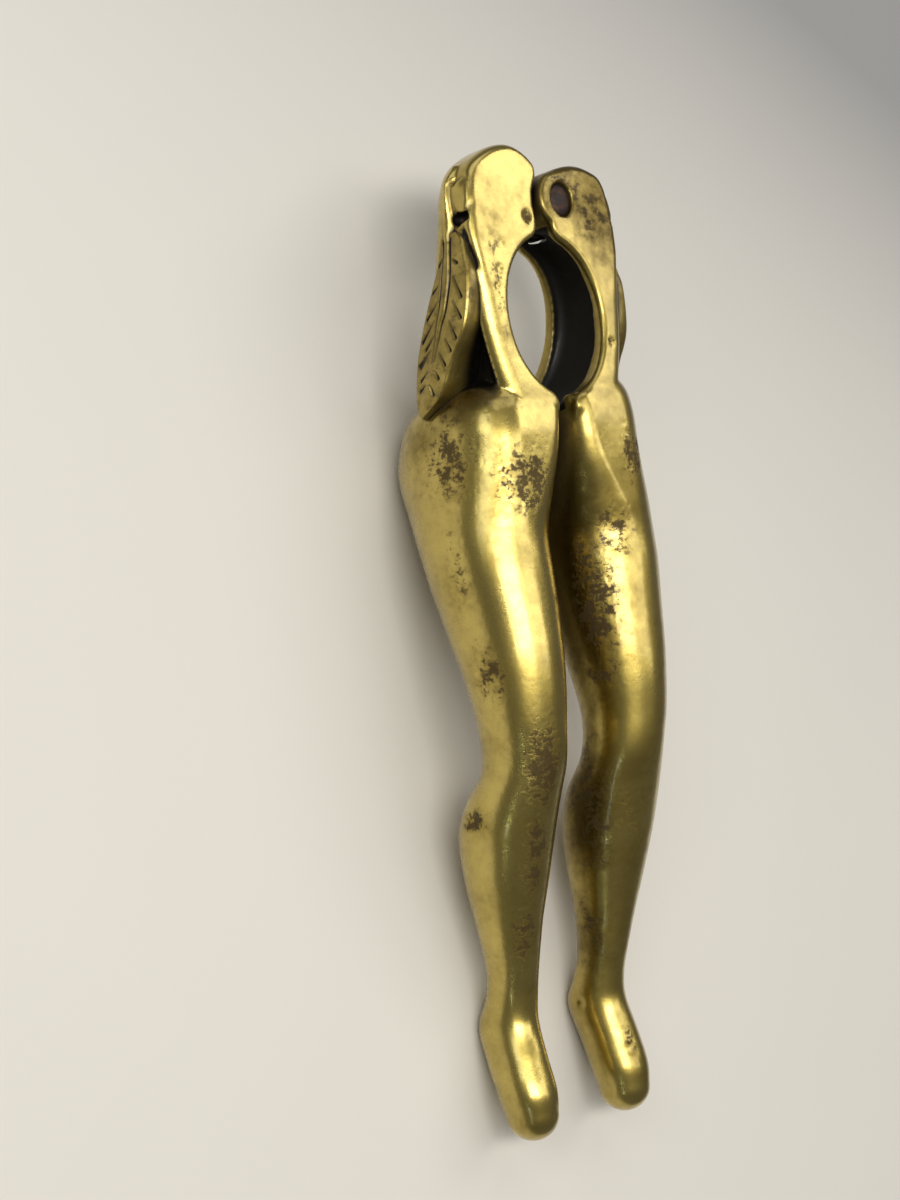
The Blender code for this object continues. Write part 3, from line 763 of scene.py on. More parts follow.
def from_line(points: np.ndarray, line: Sequence[Sequence[float]]) -> np.ndarray:
    """Each point's distance from a broken line."""
    return np.min([from_segment(points, start, stop)[0] for start, stop in zip(line, line[1:])], axis=0)


@dataclass(frozen=True)
class Furrow:
    """A furrow beside the ornament, dented and darkened with painted shade, on a line of places along and
    heights.
    """

    line: tuple
    half_width: float
    depth: float
    shade_and_dirt: float


AROUND_BOSS = tuple((60.0 + 2.6 * cos(a / 4), 20.8 + 1.75 * sin(a / 4)) for a in range(-4, 17))
# painted shade in the furrows around the boss, along the stem and by the leaf's front edge
FURROWS = (
    Furrow(AROUND_BOSS, 0.24, 0.2, 0.6),
    Furrow(((62.4, 18.2), (60.0, 17.75), (58.3, 17.5), (56.0, 17.1), (54.6, 16.9)), 0.22, 0.2, 0.6),
    Furrow(((61.6, 19.5), (57.6, 19.3), (55.2, 19.1), (53.5, 18.8)), 0.22, 0.25, 0.55),
    Furrow(((55.4, 20.5), (54.4, 20.9), (52.9, 21.1), (51.7, 21.4), (50.4, 21.7)), 0.36, 0.6, 0.9),
    Furrow(((52.9, 21.4), (51.5, 21.7), (50.2, 21.9)), 0.6, 0.12, 0.8),
    Furrow(((58.4, 22.0), (57.6, 21.9)), 0.25, 0.12, 0.6),
)


@dataclass
class Ornament:
    """The leaf on the outer side of a head, with its stem, a boss and a pocket."""

    stem: tuple = (
        (64.6, 19.3, 13.0), (62.5, 19.0, 14.6), (61.2, 18.9, 14.9),
        (59.2, 18.6, 15.0), (56.6, 18.15, 15.0),
        (54.0, 17.85, 15.2),
    )
    stem_steps: int = 5
    stem_half_width: float = 0.68
    stem_end_share: float = 0.7
    stem_swell: float = 0.3
    rod_points: int = 14
    rod_depth: float = 2.4
    out_at_base: float = 14.9
    out_at_tip: float = 17.8
    root_out_tip: float = 10.7
    root_out_base: float = 12.6
    root_along: tuple = (29.0, 45.5)
    side_slope: float = 0.4
    edge_drop: float = 0.3
    edge_width: float = 0.35
    swell: float = 0.25
    rib_half_width: float = 0.55
    rib_height: float = 0.25
    rib_fade: float = 0.6
    rib_line_half_width: float = 0.19
    rib_line_depth: float = 0.38
    rib_line_growth: float = 1.6
    rib_line_least: float = 0.2
    rib_line_steps: int = 4
    vein_start_width: float = 0.13
    vein_end_width: float = 0.23
    vein_start_depth: float = 0.18
    vein_end_depth: float = 0.38
    edge_steps: int = 8
    rows: int = 230
    row_crowding: float = 0.9
    columns: int = 76
    boss_along: float = 60.0
    boss_height: float = 20.8
    boss_lean: float = 0.5
    boss_lean_from: float = 20.4
    boss_half_length: float = 2.2
    boss_half_width: float = 1.5
    boss_out: float = 14.75
    flush: float = 0.0
    boss_root: float = 12.0
    boss_edge: float = 0.5
    boss_edge_angles: tuple = (0.0, 0.5, 1.0, pi / 2)
    boss_points: int = 32
    pocket: tuple = ((55.6, 19.3), (56.3, 20.6), (56.5, 21.7), (57.6, 21.8), (57.7, 19.2))
    pocket_floor: float = 13.0

    def rod(
        self, name: str, side: Side, places: Sequence[Vector], radii: Sequence[float]
    ) -> bpy.types.Object:
        """A round-backed rod on the outer side of a head, rooted in it.

        Args:
            name: name of the rod.
            side: the side that the leg lies on.
            places: its centre line, as places along, heights and distances out.
            radii: its radius at each place.

        Returns:
            The rod.
        """
        rings = []
        for index, (place, radius) in enumerate(zip(places, radii)):
            ahead = places[min(index + 1, len(places) - 1)] - places[max(index - 1, 0)]
            across = Vector((-ahead.y, ahead.x, 0)).normalized()
            ring = []
            for step in range(self.rod_points):
                angle = 2 * pi * step / self.rod_points
                edge = place + across * radius * cos(angle)
                out = place.z - self.flush + radius * sin(angle) * (1 if sin(angle) > 0 else self.rod_depth)
                ring.append(Vector((side.value * out, edge.x, edge.y)) * MM)
            rings.append(ring)
        return skin(name, rings)

    def stem_rod(self, side: Side) -> bpy.types.Object:
        """The stem, which runs from the top of the head into the leaf's midrib."""
        places = spline(self.stem, self.stem_steps)
        radii = []
        for index in range(len(places)):
            swell = self.stem_swell * sin(pi * (index + 0.5) / len(places))
            radii.append(self.stem_half_width * (self.stem_end_share + swell))
        return self.rod("stem", side, places, radii)

    def boss(self, side: Side) -> bpy.types.Object:
        """The oval boss in front of the stem, with a softly rounded edge.

        Args:
            side: the side that the leg lies on.

        Returns:
            The boss.
        """
        edge = self.boss_edge
        steps = [(self.boss_root, 0.0)]
        face = self.boss_out - self.flush - edge
        steps += [(face + edge * sin(a), edge * (1 - cos(a))) for a in self.boss_edge_angles]
        rings = []
        for out, smaller in steps:
            length, width = self.boss_half_length - smaller, self.boss_half_width - smaller
            ring = []
            for p in full_circle((0, 0), 1, self.boss_points):
                height = self.boss_height + width * p.y
                lean = self.boss_lean * max(height - self.boss_lean_from, 0.0) * (out > self.boss_root)
                ring.append(Vector((side.value * (out - lean), self.boss_along + length * p.x, height)) * MM)
            rings.append(ring)
        return skin("boss", rings)

    def pocket_tool(self, side: Side) -> bpy.types.Object:
        """What the small pocket between the boss and the leaf takes out."""
        rings = []
        for out in (self.pocket_floor, self.out_at_tip):
            rings.append([Vector((side.value * out, *corner)) * MM for corner in self.pocket])
        return skin("pocket", rings)

    def cut_at(self, places: np.ndarray) -> np.ndarray:
        """Depth of the veins on the leaf's face.

        Args:
            places: places along and heights, one pair in each row.

        Returns:
            The depth at each place, in millimetres.
        """
        cut = np.zeros(len(places))
        tip, base = LEAF_MIDRIB[-1][0], LEAF_MIDRIB[0][0]
        fade = np.clip((places[:, 0] - tip) / (base - tip) * self.rib_line_growth, self.rib_line_least, 1)
        for line in RIB_LINES:
            curve = [tuple(point) for point in spline(line, self.rib_line_steps)]
            beside = from_line(places, curve) / self.rib_line_half_width
            cut = np.maximum(cut, self.rib_line_depth * fade * np.exp(-beside ** 2))
        for start, stop in LEAF_VEINS:
            distance, share = from_segment(places, start, stop)
            width = self.vein_start_width + (self.vein_end_width - self.vein_start_width) * share
            depth = self.vein_start_depth + (self.vein_end_depth - self.vein_start_depth) * share
            cut = np.maximum(cut, depth * np.exp(-(distance / width) ** 2))
        return cut

    def root_at(self, along: Any) -> Any:
        """How far out the leaf's root lies, which follows the floor of the groove."""
        return np.interp(along, self.root_along, (self.root_out_tip, self.root_out_base))

    def blade(self, name: str, side: Side) -> bpy.types.Object:
        """The leaf: a raised blade with a midrib and side veins cut into its face.

        Args:
            name: name of the piece.
            side: the side that the leg lies on.

        Returns:
            The leaf.
        """
        base, tip = LEAF_MIDRIB[0][0], LEAF_MIDRIB[-1][0]
        alongs = base + (tip - base) * np.linspace(0, 1, self.rows + 1) ** self.row_crowding
        lines = []
        for line in (LEAF_BACK_EDGE, LEAF_MIDRIB, LEAF_FRONT_EDGE):
            curve = np.array([tuple(point) for point in spline(line, self.edge_steps)])[::-1]
            lines.append(np.interp(alongs, curve[:, 0], curve[:, 1]))
        rings = []
        for along, back, rib, front in zip(alongs, *lines):
            heights = back + (front - back) * (1 - np.cos(np.linspace(0, pi, self.columns))) / 2
            places = np.stack([np.full(self.columns, along), heights], axis=1)
            share = (base - along) / (base - tip)
            edge = np.minimum(heights - back, front - heights)
            out = self.out_at_base + (self.out_at_tip - self.out_at_base) * share
            out = out + self.swell * np.minimum(edge / 2, 1) ** 0.5
            out = out - self.edge_drop * np.clip(1 - edge / self.edge_width, 0, 1) ** 2
            rib_height = self.rib_height * (1 - self.rib_fade * share)
            out = out + rib_height * np.exp(-((heights - rib) / self.rib_half_width) ** 2)
            out = out - self.cut_at(places)
            root = self.root_at(along)
            points = [(root, back - self.side_slope), *zip(out, heights), (root, front + self.side_slope)]
            rings.append([Vector((side.value * x, along, z)) * MM for x, z in points])
        return skin(name, rings)


@dataclass(frozen=True)
class Patch:
    """A place where the casting is pitted or dark: its middle, its half sizes and its strength."""

    x: float
    along: float
    height: float
    half_x: float
    half_along: float
    half_height: float
    strength: float = 1.0

    def strength_at(self, places: np.ndarray) -> np.ndarray:
        """The patch's strength at places in millimetres, one in each row."""
        middle = np.array((self.x, self.along, self.height))
        offset = (places - middle) / np.array((self.half_x, self.half_along, self.half_height))
        return self.strength * np.exp(-(offset ** 2).sum(axis=1))


RIGHT_PATCHES = (
    Patch(-17.6, 25.5, 15.3, 4.0, 6.5, 5.0, 0.75),
    Patch(-10.5, 21.2, 22.0, 5.5, 5.0, 4.0, 0.85),
    Patch(-18.8, 10.0, 15.5, 2.0, 8.0, 2.0, 0.45),
    Patch(-17.0, -4.0, 17.0, 2.5, 5.0, 3.0, 0.7),
    Patch(-12.0, -17.0, 19.3, 2.8, 7.0, 4.0, 1.05),
    Patch(-11.2, -28.0, 15.5, 2.4, 7.5, 4.0, 0.95),
    Patch(-16.8, -23.1, 9.9, 1.4, 1.6, 2.5, 1.0),
    Patch(-10.9, 49.0, 22.3, 1.8, 8.5, 2.0, 0.5),
    Patch(-3.6, 57.3, 22.3, 0.9, 1.3, 1.0, 0.9),
    Patch(-13.0, 31.5, 16.0, 5.5, 3.2, 5.5, 0.75),
    Patch(-11.2, -39.0, 11.3, 2.2, 6.5, 3.5, 0.75),
)
LEFT_PATCHES = (
    Patch(4.2, 5.0, 18.3, 3.0, 10.0, 4.0, 0.8),
    Patch(11.7, 24.3, 22.4, 3.5, 4.0, 3.0, 0.8),
    Patch(4.5, -5.1, 18.0, 2.0, 3.0, 3.0, 0.7),
    Patch(6.0, 14.0, 22.0, 4.0, 4.5, 3.0, 0.7),
    Patch(8.8, -57.5, 9.6, 1.3, 2.6, 1.5, 0.6),
    Patch(7.0, -26.0, 17.0, 4.0, 8.0, 4.0, 0.45),
    Patch(10.5, 58.0, 22.3, 4.5, 5.0, 2.0, 0.55),
    Patch(10.4, 40.4, 22.3, 1.0, 0.8, 1.0, 0.8),
    Patch(4.6, -24.0, 12.0, 2.4, 14.0, 5.0, 0.6),
    Patch(5.5, -42.0, 8.0, 3.0, 8.0, 4.0, 0.5),
    Patch(4.5, 61.5, 22.0, 4.5, 4.5, 3.0, 0.6),
)


# painted shade on the near leg: the hip's shoulder, the inner side of the thigh beside the far leg and the
# low outer side of the hip
RIGHT_PAINTED_SHADE = (
    Patch(-13.5, 32.5, 15.5, 6.0, 3.6, 6.0, 1.1),
    Patch(-2.2, 12.0, 19.0, 1.8, 22.0, 4.5, 1.0),
    Patch(-17.5, 28.5, 11.0, 4.0, 4.0, 6.0, 0.7),
)
# painted shade on the far leg's inner side between the legs and beside the hinge; the far head is darker
# partly from its own tarnish and partly from painted shade
LEFT_SHADE_AND_STAINS = (
    Patch(2.8, 12.0, 15.5, 2.8, 28.0, 8.0, 1.15),
    Patch(4.2, -24.0, 11.5, 2.4, 14.0, 5.5, 0.9),
    Patch(5.5, -42.0, 7.0, 3.0, 8.0, 4.0, 0.6),
    Patch(1.5, 60.5, 20.0, 2.4, 5.5, 3.0, 1.2),
    Patch(5.0, 64.5, 21.0, 4.5, 2.6, 3.0, 0.7),
    Patch(10.5, 60.0, 22.0, 7.5, 10.0, 5.0, 0.85),
)
# painted shade under the near lug, between the heads
UNDER_RIGHT_LUG = Patch(4.1, 55.8, 16.2, 5.0, 2.0, 3.2)


def strongest(patches: Sequence[Patch], places: np.ndarray) -> np.ndarray:
    """The strength of the strongest patch at each of some places in millimetres."""
    strength = np.zeros(len(places))
    for patch in patches:
        strength = np.maximum(strength, patch.strength_at(places))
    return strength


@dataclass(frozen=True)
class Pit:
    """A single dent: its middle, its radius and its depth."""

    x: float
    along: float
    height: float
    radius: float
    depth: float


RIGHT_PITS = (
    Pit(-16.9, -23.1, 9.9, 1.1, 0.45),
    Pit(-3.6, 57.6, 22.3, 0.7, 0.35),
    Pit(-11.4, 32.4, 21.6, 0.6, 0.12),
    Pit(-10.4, 50.0, 22.3, 0.6, 0.15),
    Pit(-11.2, 47.5, 22.3, 0.5, 0.15),
    Pit(-9.4, 53.5, 22.3, 0.7, 0.12),
    Pit(-8.9, -64.2, 10.1, 0.5, 0.12),
)
LEFT_PITS = (
    Pit(5.3, -51.5, 4.1, 0.6, 0.4),
    Pit(8.8, -57.2, 9.6, 0.6, 0.12),
    Pit(9.0, -58.9, 9.9, 0.5, 0.12),
    Pit(10.4, 40.4, 22.3, 0.6, 0.12),
)


@dataclass
class Casting:
    """One cast half of the nutcracker: leg, head and lug in one piece of brass."""

    name: str
    leaf_name: str
    side: Side
    patches: tuple[Patch, ...]
    pits: tuple[Pit, ...]
    dullness: float
    body: LegBody = field(default_factory=LegBody)
    head: Head = field(default_factory=Head)
    hinge: Hinge = field(default_factory=Hinge)
    ornament: Ornament = field(default_factory=Ornament)
    shades_and_stains: tuple[Patch, ...] = ()
    # patches of painted shade
    shaded_patches: tuple[Patch, ...] = ()
    voxel: float = 0.3
    smoothing: int = 4
    waviness: float = 0.05
    wave_scale: float = 0.22
    most_raised: float = 0.02
    pitting: float = 0.14
    pitted_from: float = 0.02
    pit_scale: float = 1.6
    fine_pit_scale: float = 3.1
    pit_threshold: float = 0.1
    outer_side: float = 13.4
    outer_fade: float = 0.8
    leaf_patina: float = 0.3
    leaf_dullness: float = 0.7
    # the leaf is darkened all over by this share of shade_and_stain
    leaf_darkening: float = 0.34
    shaded_depth: float = 0.26
    vein_shade: float = 0.72
    root_shade: float = 0.85
    root_margin: float = 0.1
    groove_shade: float = 0.7

    def rough_shape(self) -> bpy.types.Object:
        """The union of the leg, the head and the ornament's roots, with its hollows cut.

        Returns:
            The casting before it is softened.
        """
        leg = self.body.build(self.side)
        combine(leg, self.head.passage(self.side), "DIFFERENCE")
        right = self.side is Side.RIGHT
        lug = self.hinge.right_lug(self.head.inner) if right else self.hinge.left_lug(self.head.inner)
        slab = self.head.slab(self.side, RIGHT_DOME if right else LEFT_DOME, lug)
        combine(slab, self.head.groove(self.side), "DIFFERENCE")
        combine(slab, self.ornament.pocket_tool(self.side), "DIFFERENCE")
        combine(leg, slab, "UNION")
        for part in (self.ornament.stem_rod, self.ornament.boss):
            combine(leg, part(self.side), "UNION")
        combine(leg, self.head.hollow(self.side), "DIFFERENCE")
        self.cut_lap(leg)
        return leg

    def cut_lap(self, leg: bpy.types.Object) -> None:
        """Makes room for the other leg's lug, and cuts the rivet's bore and seat.

        Args:
            leg: the casting to cut.
        """
        hinge, front = self.hinge, self.head.front
        above = front + hinge.lug_radius
        if self.side is Side.RIGHT:
            centre = (hinge.out, hinge.along - hinge.relief_below)
            outline = full_circle(centre, hinge.relief_radius, hinge.steps)
            lap = hinge.lap_height - hinge.lap_clearance / 2
            combine(leg, upright("relief", outline, lap, above), "DIFFERENCE")
            corner = [Vector(point) for point in hinge.corner]
            combine(leg, upright("corner", corner, lap, above), "DIFFERENCE")
            seat = hinge.back + hinge.head_depth + hinge.clearance
            first, second, top = hinge.head_radius, hinge.pin_radius, front
        else:
            lap = hinge.lap_height + hinge.lap_clearance / 2
            combine(leg, upright("relief", hinge.swept_by_neck(), 0, lap), "DIFFERENCE")
            seat = front - hinge.set_back - hinge.head_depth - hinge.clearance
            first, second, top = hinge.pin_radius, hinge.head_radius, above
        hinge.bore(leg, [(0, first), (seat, first), (seat, second), (top, second)])

    def soften(self, leg: bpy.types.Object) -> None:
        """Gives the casting even small faces and the soft edges of worn brass."""
        even = {"mode": "VOXEL", "voxel_size": self.voxel * MM, "adaptivity": 0.0, "use_smooth_shade": True}
        finish_with(leg, "REMESH", **even)
        finish_with(leg, "SMOOTH", factor=0.5, iterations=self.smoothing)

    def shade_and_dirt_at(self, places: np.ndarray) -> tuple[np.ndarray, np.ndarray]:
        """Where shade is painted into the hollow, the groove, under the lug and into the furrows beside the
        ornament; the hollow's black is painted shade and dirt.

        Args:
            places: places in millimetres, one in each row.

        Returns:
            The darkness of each place from 0 to 1, and how deep the surface is furrowed there.
        """
        # painted shade in the groove between the leaf and the front arm
        groove = self.head.depth_in_groove(places) * self.groove_shade
        shade_and_dirt = np.maximum(self.head.depth_in_hollow(places), groove)
        shade_and_dirt = np.maximum(shade_and_dirt, strongest(self.shaded_patches, places))
        depth = np.zeros(len(places))
        outer = np.clip((places[:, 0] * self.side.value - self.outer_side) / self.outer_fade, 0, 1)
        for furrow in FURROWS:
            strength = np.exp(-(from_line(places[:, 1:], furrow.line) / furrow.half_width) ** 2) * outer
            shade_and_dirt = np.maximum(shade_and_dirt, strength * furrow.shade_and_dirt)
            depth = np.maximum(depth, strength * furrow.depth)
        return shade_and_dirt, depth

    def weather(self, leg: bpy.types.Object) -> None:
        """Moves the surface in and out a little, for an uneven casting with furrows, pits and dents.

        Args:
            leg: the softened casting.
        """
        normals = [vert.normal.copy() for vert in leg.data.vertices]
        places = places_of(leg)
        shade_and_dirt, furrows = self.shade_and_dirt_at(places)
        patina = strongest(self.patches, places)
        dents = furrows
        for pit in self.pits:
            distance = np.linalg.norm(places - np.array((pit.x, pit.along, pit.height)), axis=1)
            dents = dents + pit.depth * np.exp(-(distance / pit.radius) ** 2)
        for vert, normal, strength, dent in zip(leg.data.vertices, normals, patina, dents):
            place = vert.co / MM
            move = self.waviness * noise.noise(place * self.wave_scale) - dent
            if strength > self.pitted_from:
                grain = noise.noise(place * self.pit_scale) + 0.5 * noise.noise(place * self.fine_pit_scale)
                move -= self.pitting * strength * max(grain - self.pit_threshold, 0.0)
            vert.co += normal * min(move, self.most_raised) * MM
        set_attribute(leg, "patina", patina)
        set_attribute(leg, "dull", [self.dullness] * len(patina))
        # painted shade and stains, and painted shade and dirt, stored for the finish
        set_attribute(leg, "shade_and_stain", strongest(self.shades_and_stains, places))
        set_attribute(leg, "shade_and_dirt", shade_and_dirt)

    def build(self) -> tuple[bpy.types.Object, bpy.types.Object]:
        """Builds the casting and its leaf.

        Returns:
            The casting and the leaf.
        """
        leg = self.rough_shape()
        leg.name = self.name
        leg.data.name = self.name
        self.soften(leg)
        self.weather(leg)
        leaf = self.ornament.blade(self.leaf_name, self.side)
        places = places_of(leaf)
        even = {"patina": self.leaf_patina, "dull": self.leaf_dullness, "shade_and_stain": self.leaf_darkening}
        for name, value in even.items():
            set_attribute(leaf, name, [value] * len(places))
        # painted shade: the leaf's veins and its root against the head are darkened
        shade_and_dirt = np.clip(self.ornament.cut_at(places[:, 1:]) / self.shaded_depth, 0, 1) * self.vein_shade
        root = np.abs(places[:, 0]) < self.ornament.root_at(places[:, 1]) + self.root_margin
        set_attribute(leaf, "shade_and_dirt", np.where(root, self.root_shade, shade_and_dirt))
        for piece in (leg, leaf):
            take(piece)
            bpy.ops.object.shade_smooth()
        return leg, leaf

    def dress(
        self, pieces: Sequence[bpy.types.Object], node: str, body: str, brass: bpy.types.Material
    ) -> None:
        """Gives the pieces their finish and hangs them on the frame.

        Args:
            pieces: the casting and its leaf.
            node: the CAD node that they stand for.
            body: the body that they move with.
            brass: the finish.
        """
        for piece in pieces:
            piece.data.materials.clear()
            piece.data.materials.append(brass)
            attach(piece, body)
            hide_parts(node)


def spread_directions(count: int, spread: float = 0.97) -> list[Vector]:
    """Directions spread evenly over a half sphere around +Z, denser towards its top.

    Args:
        count: number of directions.
        spread: how close to level the lowest ones come, up to 1.

    Returns:
        The directions.
    """
    turn = pi * (3 - sqrt(5))
    directions = []
    for index in range(count):
        radius = sqrt((index + 0.5) / count) * spread
        rise = sqrt(1 - radius ** 2)
        directions.append(Vector((radius * cos(index * turn), radius * sin(index * turn), rise)))
    return directions


def spread_to_neighbours(piece: bpy.types.Object, values: np.ndarray, times: int) -> np.ndarray:
    """Averages the number of each point with those of its neighbours.

    Args:
        piece: the piece whose edges join the points.
        values: one number for each point.
        times: how often it is done.

    Returns:
        The new numbers.
    """
    count = len(values)
    edges = np.zeros(len(piece.data.edges) * 2, np.int64)
    piece.data.edges.foreach_get("vertices", edges)
    first, second = edges[::2], edges[1::2]
    degree = np.bincount(edges, minlength=count) + 1
    for _ in range(times):
        total = values + np.bincount(first, values[second], count)
        values = (total + np.bincount(second, values[first], count)) / degree
    return values


def shade_cavities(pieces: Sequence[bpy.types.Object], reach: float) -> None:
    """Stores in the attribute "recess" how shut in each point is, from which the brass finish paints shade.

    Args:
        pieces: the pieces that shut each other in.
        reach: how far away a wall still counts, in metres.
    """
    points, faces = [], []
    for piece in pieces:
        start = len(points)
        points += [vert.co.copy() for vert in piece.data.vertices]
        faces += [tuple(start + index for index in face.vertices) for face in piece.data.polygons]
    tree = BVHTree.FromPolygons(points, faces)
    directions = spread_directions(SHADE_RAYS)
    for piece in pieces:
        recess = np.zeros(len(piece.data.vertices))
        for index, vert in enumerate(piece.data.vertices):
            turn = vert.normal.to_track_quat("Z", "Y").to_matrix()
            eye = vert.co + vert.normal * SHADE_START * MM
            shut = 0.0
            for direction in directions:
                distance = tree.ray_cast(eye, turn @ direction, reach)[3]
                if distance is not None:
                    shut += 1 - distance / reach
            recess[index] = shut / len(directions)
        set_attribute(piece, "recess", spread_to_neighbours(piece, recess, SHADE_BLURS))


@dataclass
class Rivet:
    """The iron rivet, with a hammered head at each end."""

    hinge: Hinge = field(default_factory=Hinge)
    front: float = 22.3
    dome: float = 0.42
    dome_angles: tuple = (0.12, 0.35, 0.6, 0.85, 1.1, 1.32, 1.5)
    points: int = 64
    hammering: float = 0.06
    hammer_scale: float = 0.9
    wear: float = 0.03
    wear_scale: float = 0.5
    sharp_angle: float = radians(40)

    def build(self) -> bpy.types.Object:
        """Extrudes the rivet along its axis and hammers its heads.

        Returns:
            The rivet.
        """
        hinge = self.hinge
        top, depth, dome = self.front - hinge.set_back, hinge.head_depth, self.dome
        head = [(top - dome * (1 - cos(a)), hinge.head_radius * sin(a)) for a in self.dome_angles]
        profile = head + [(top - depth, hinge.head_radius), (top - depth, hinge.pin_radius)]
        middle = (top + hinge.back) / 2
        profile += [(2 * middle - height, radius) for height, radius in profile[::-1]]
        piece = skin("rivet", [hinge.oval(radius, 0.0, height, self.points) for height, radius in profile])
        for vert in piece.data.vertices:
            place = vert.co / MM
            inward = 1 if place.z > middle else -1
            vert.co.z -= self.hammering * (1 + noise.noise(place * self.hammer_scale)) * MM * inward
            off_axis = Vector((place.x - hinge.out, place.y - hinge.along, 0))
            vert.co -= off_axis * (self.wear + self.wear * noise.noise(place * self.wear_scale)) * MM
        take(piece)
        bpy.ops.object.shade_smooth_by_angle(angle=self.sharp_angle)
        return piece

    def dress(self, piece: bpy.types.Object, iron: bpy.types.Material) -> None:
        """Gives the rivet its finish and hangs it on the frame."""
        piece.data.materials.clear()
        piece.data.materials.append(iron)
        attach(piece, "right_leg")
        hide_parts("hinge_pin")


# Finishes


class Value:
    """A socket whose arithmetic adds Math nodes."""

    def __init__(self, tree: "Nodes", socket: bpy.types.NodeSocket) -> None:
        """Wraps a socket of a node tree."""
        self.tree = tree
        self.socket = socket

    def math(self, operation: str, first: Any, second: Any) -> "Value":
        """Adds one Math node that works on two values."""
        return self.tree.math(operation, first, second)

    def __add__(self, other: Any) -> "Value":
        """Sum of two values."""
        return self.math("ADD", self, other)

    def __sub__(self, other: Any) -> "Value":
        """Difference of two values."""
        return self.math("SUBTRACT", self, other)

    def __mul__(self, other: Any) -> "Value":
        """Product of two values."""
        return self.math("MULTIPLY", self, other)

    def __rsub__(self, other: Any) -> "Value":
        """Difference of a plain number and a value."""
        return self.math("SUBTRACT", other, self)

    __radd__ = __add__
    __rmul__ = __mul__

    def ramp(self, low: float, high: float) -> "Value":
        """A smooth step from 0 at low to 1 at high."""
        settings = {"interpolation_type": "SMOOTHSTEP"}
        inputs = {"Value": self, "From Min": low, "From Max": high}
        return self.tree.add("ShaderNodeMapRange", settings, inputs)

    def highest(self, other: Any) -> "Value":
        """The larger of two values."""
        return self.math("MAXIMUM", self, other)


class Nodes:
    """The node tree of one material."""

    def __init__(self, name: str) -> None:
        """Starts an empty material."""
        self.material = bpy.data.materials.new(name)
        self.material.use_nodes = True
        self.tree = self.material.node_tree
        self.tree.nodes.clear()

    def node(self, kind: str, settings: dict[str, Any], inputs: dict[Any, Any]) -> bpy.types.Node:
        """Adds a node.

        Args:
            kind: the node's type.
            settings: values of the node's own properties, set first.
            inputs: values or links of its sockets.

        Returns:
            The new node.
        """
        node = self.tree.nodes.new(kind)
        for key, value in settings.items():
            setattr(node, key, value)
        for key, value in inputs.items():
            if isinstance(value, Value):
                self.tree.links.new(value.socket, node.inputs[key])
            else:
                node.inputs[key].default_value = value
        return node

    def add(self, kind: str, settings: dict[str, Any], inputs: dict[Any, Any], output: Any = 0) -> Value:
        """Adds a node and returns one of its outputs."""
        return Value(self, self.node(kind, settings, inputs).outputs[output])

    def place(self) -> Value:
        """The point on the surface, in metres."""
        return self.add("ShaderNodeTexCoord", {}, {}, "Object")

    def noise(self, place: Value, scale: float, detail: float = 3.0, roughness: float = 0.5) -> Value:
        """Cloudy noise between 0 and 1."""
        inputs = {"Vector": place, "Scale": scale, "Detail": detail, "Roughness": roughness}
        return self.add("ShaderNodeTexNoise", {}, inputs, "Fac")

    def attribute(self, name: str) -> Value:
        """A number stored for each point of the piece."""
        return self.add("ShaderNodeAttribute", {"attribute_name": name}, {}, "Fac")

    def math(self, operation: str, first: Any, second: Any) -> Value:
        """Adds one Math node that works on two values or plain numbers."""
        return self.add("ShaderNodeMath", {"operation": operation}, {0: first, 1: second})

    def bump(self, height: Value, strength: float, depth: float) -> Value:
        """The normal of a surface with a fine relief, up to a depth in metres."""
        inputs = {"Strength": strength, "Distance": depth, "Height": height}
        return self.add("ShaderNodeBump", {}, inputs, "Normal")

    def mix(self, share: Any, low: Any, high: Any) -> Value:
        """A colour between two colours."""
        settings = {"data_type": "RGBA"}
        node = self.node("ShaderNodeMix", settings, {})
        for socket, value in zip((node.inputs[0], node.inputs[6], node.inputs[7]), (share, low, high)):
            if isinstance(value, Value):
                self.tree.links.new(value.socket, socket)
            else:
                socket.default_value = value
        return Value(self, node.outputs[2])

    def output(self, shader: Value) -> bpy.types.Material:
        """Ends the material with its surface."""
        self.node("ShaderNodeOutputMaterial", {}, {"Surface": shader})
        return self.material


Colour = tuple[float, float, float, float]


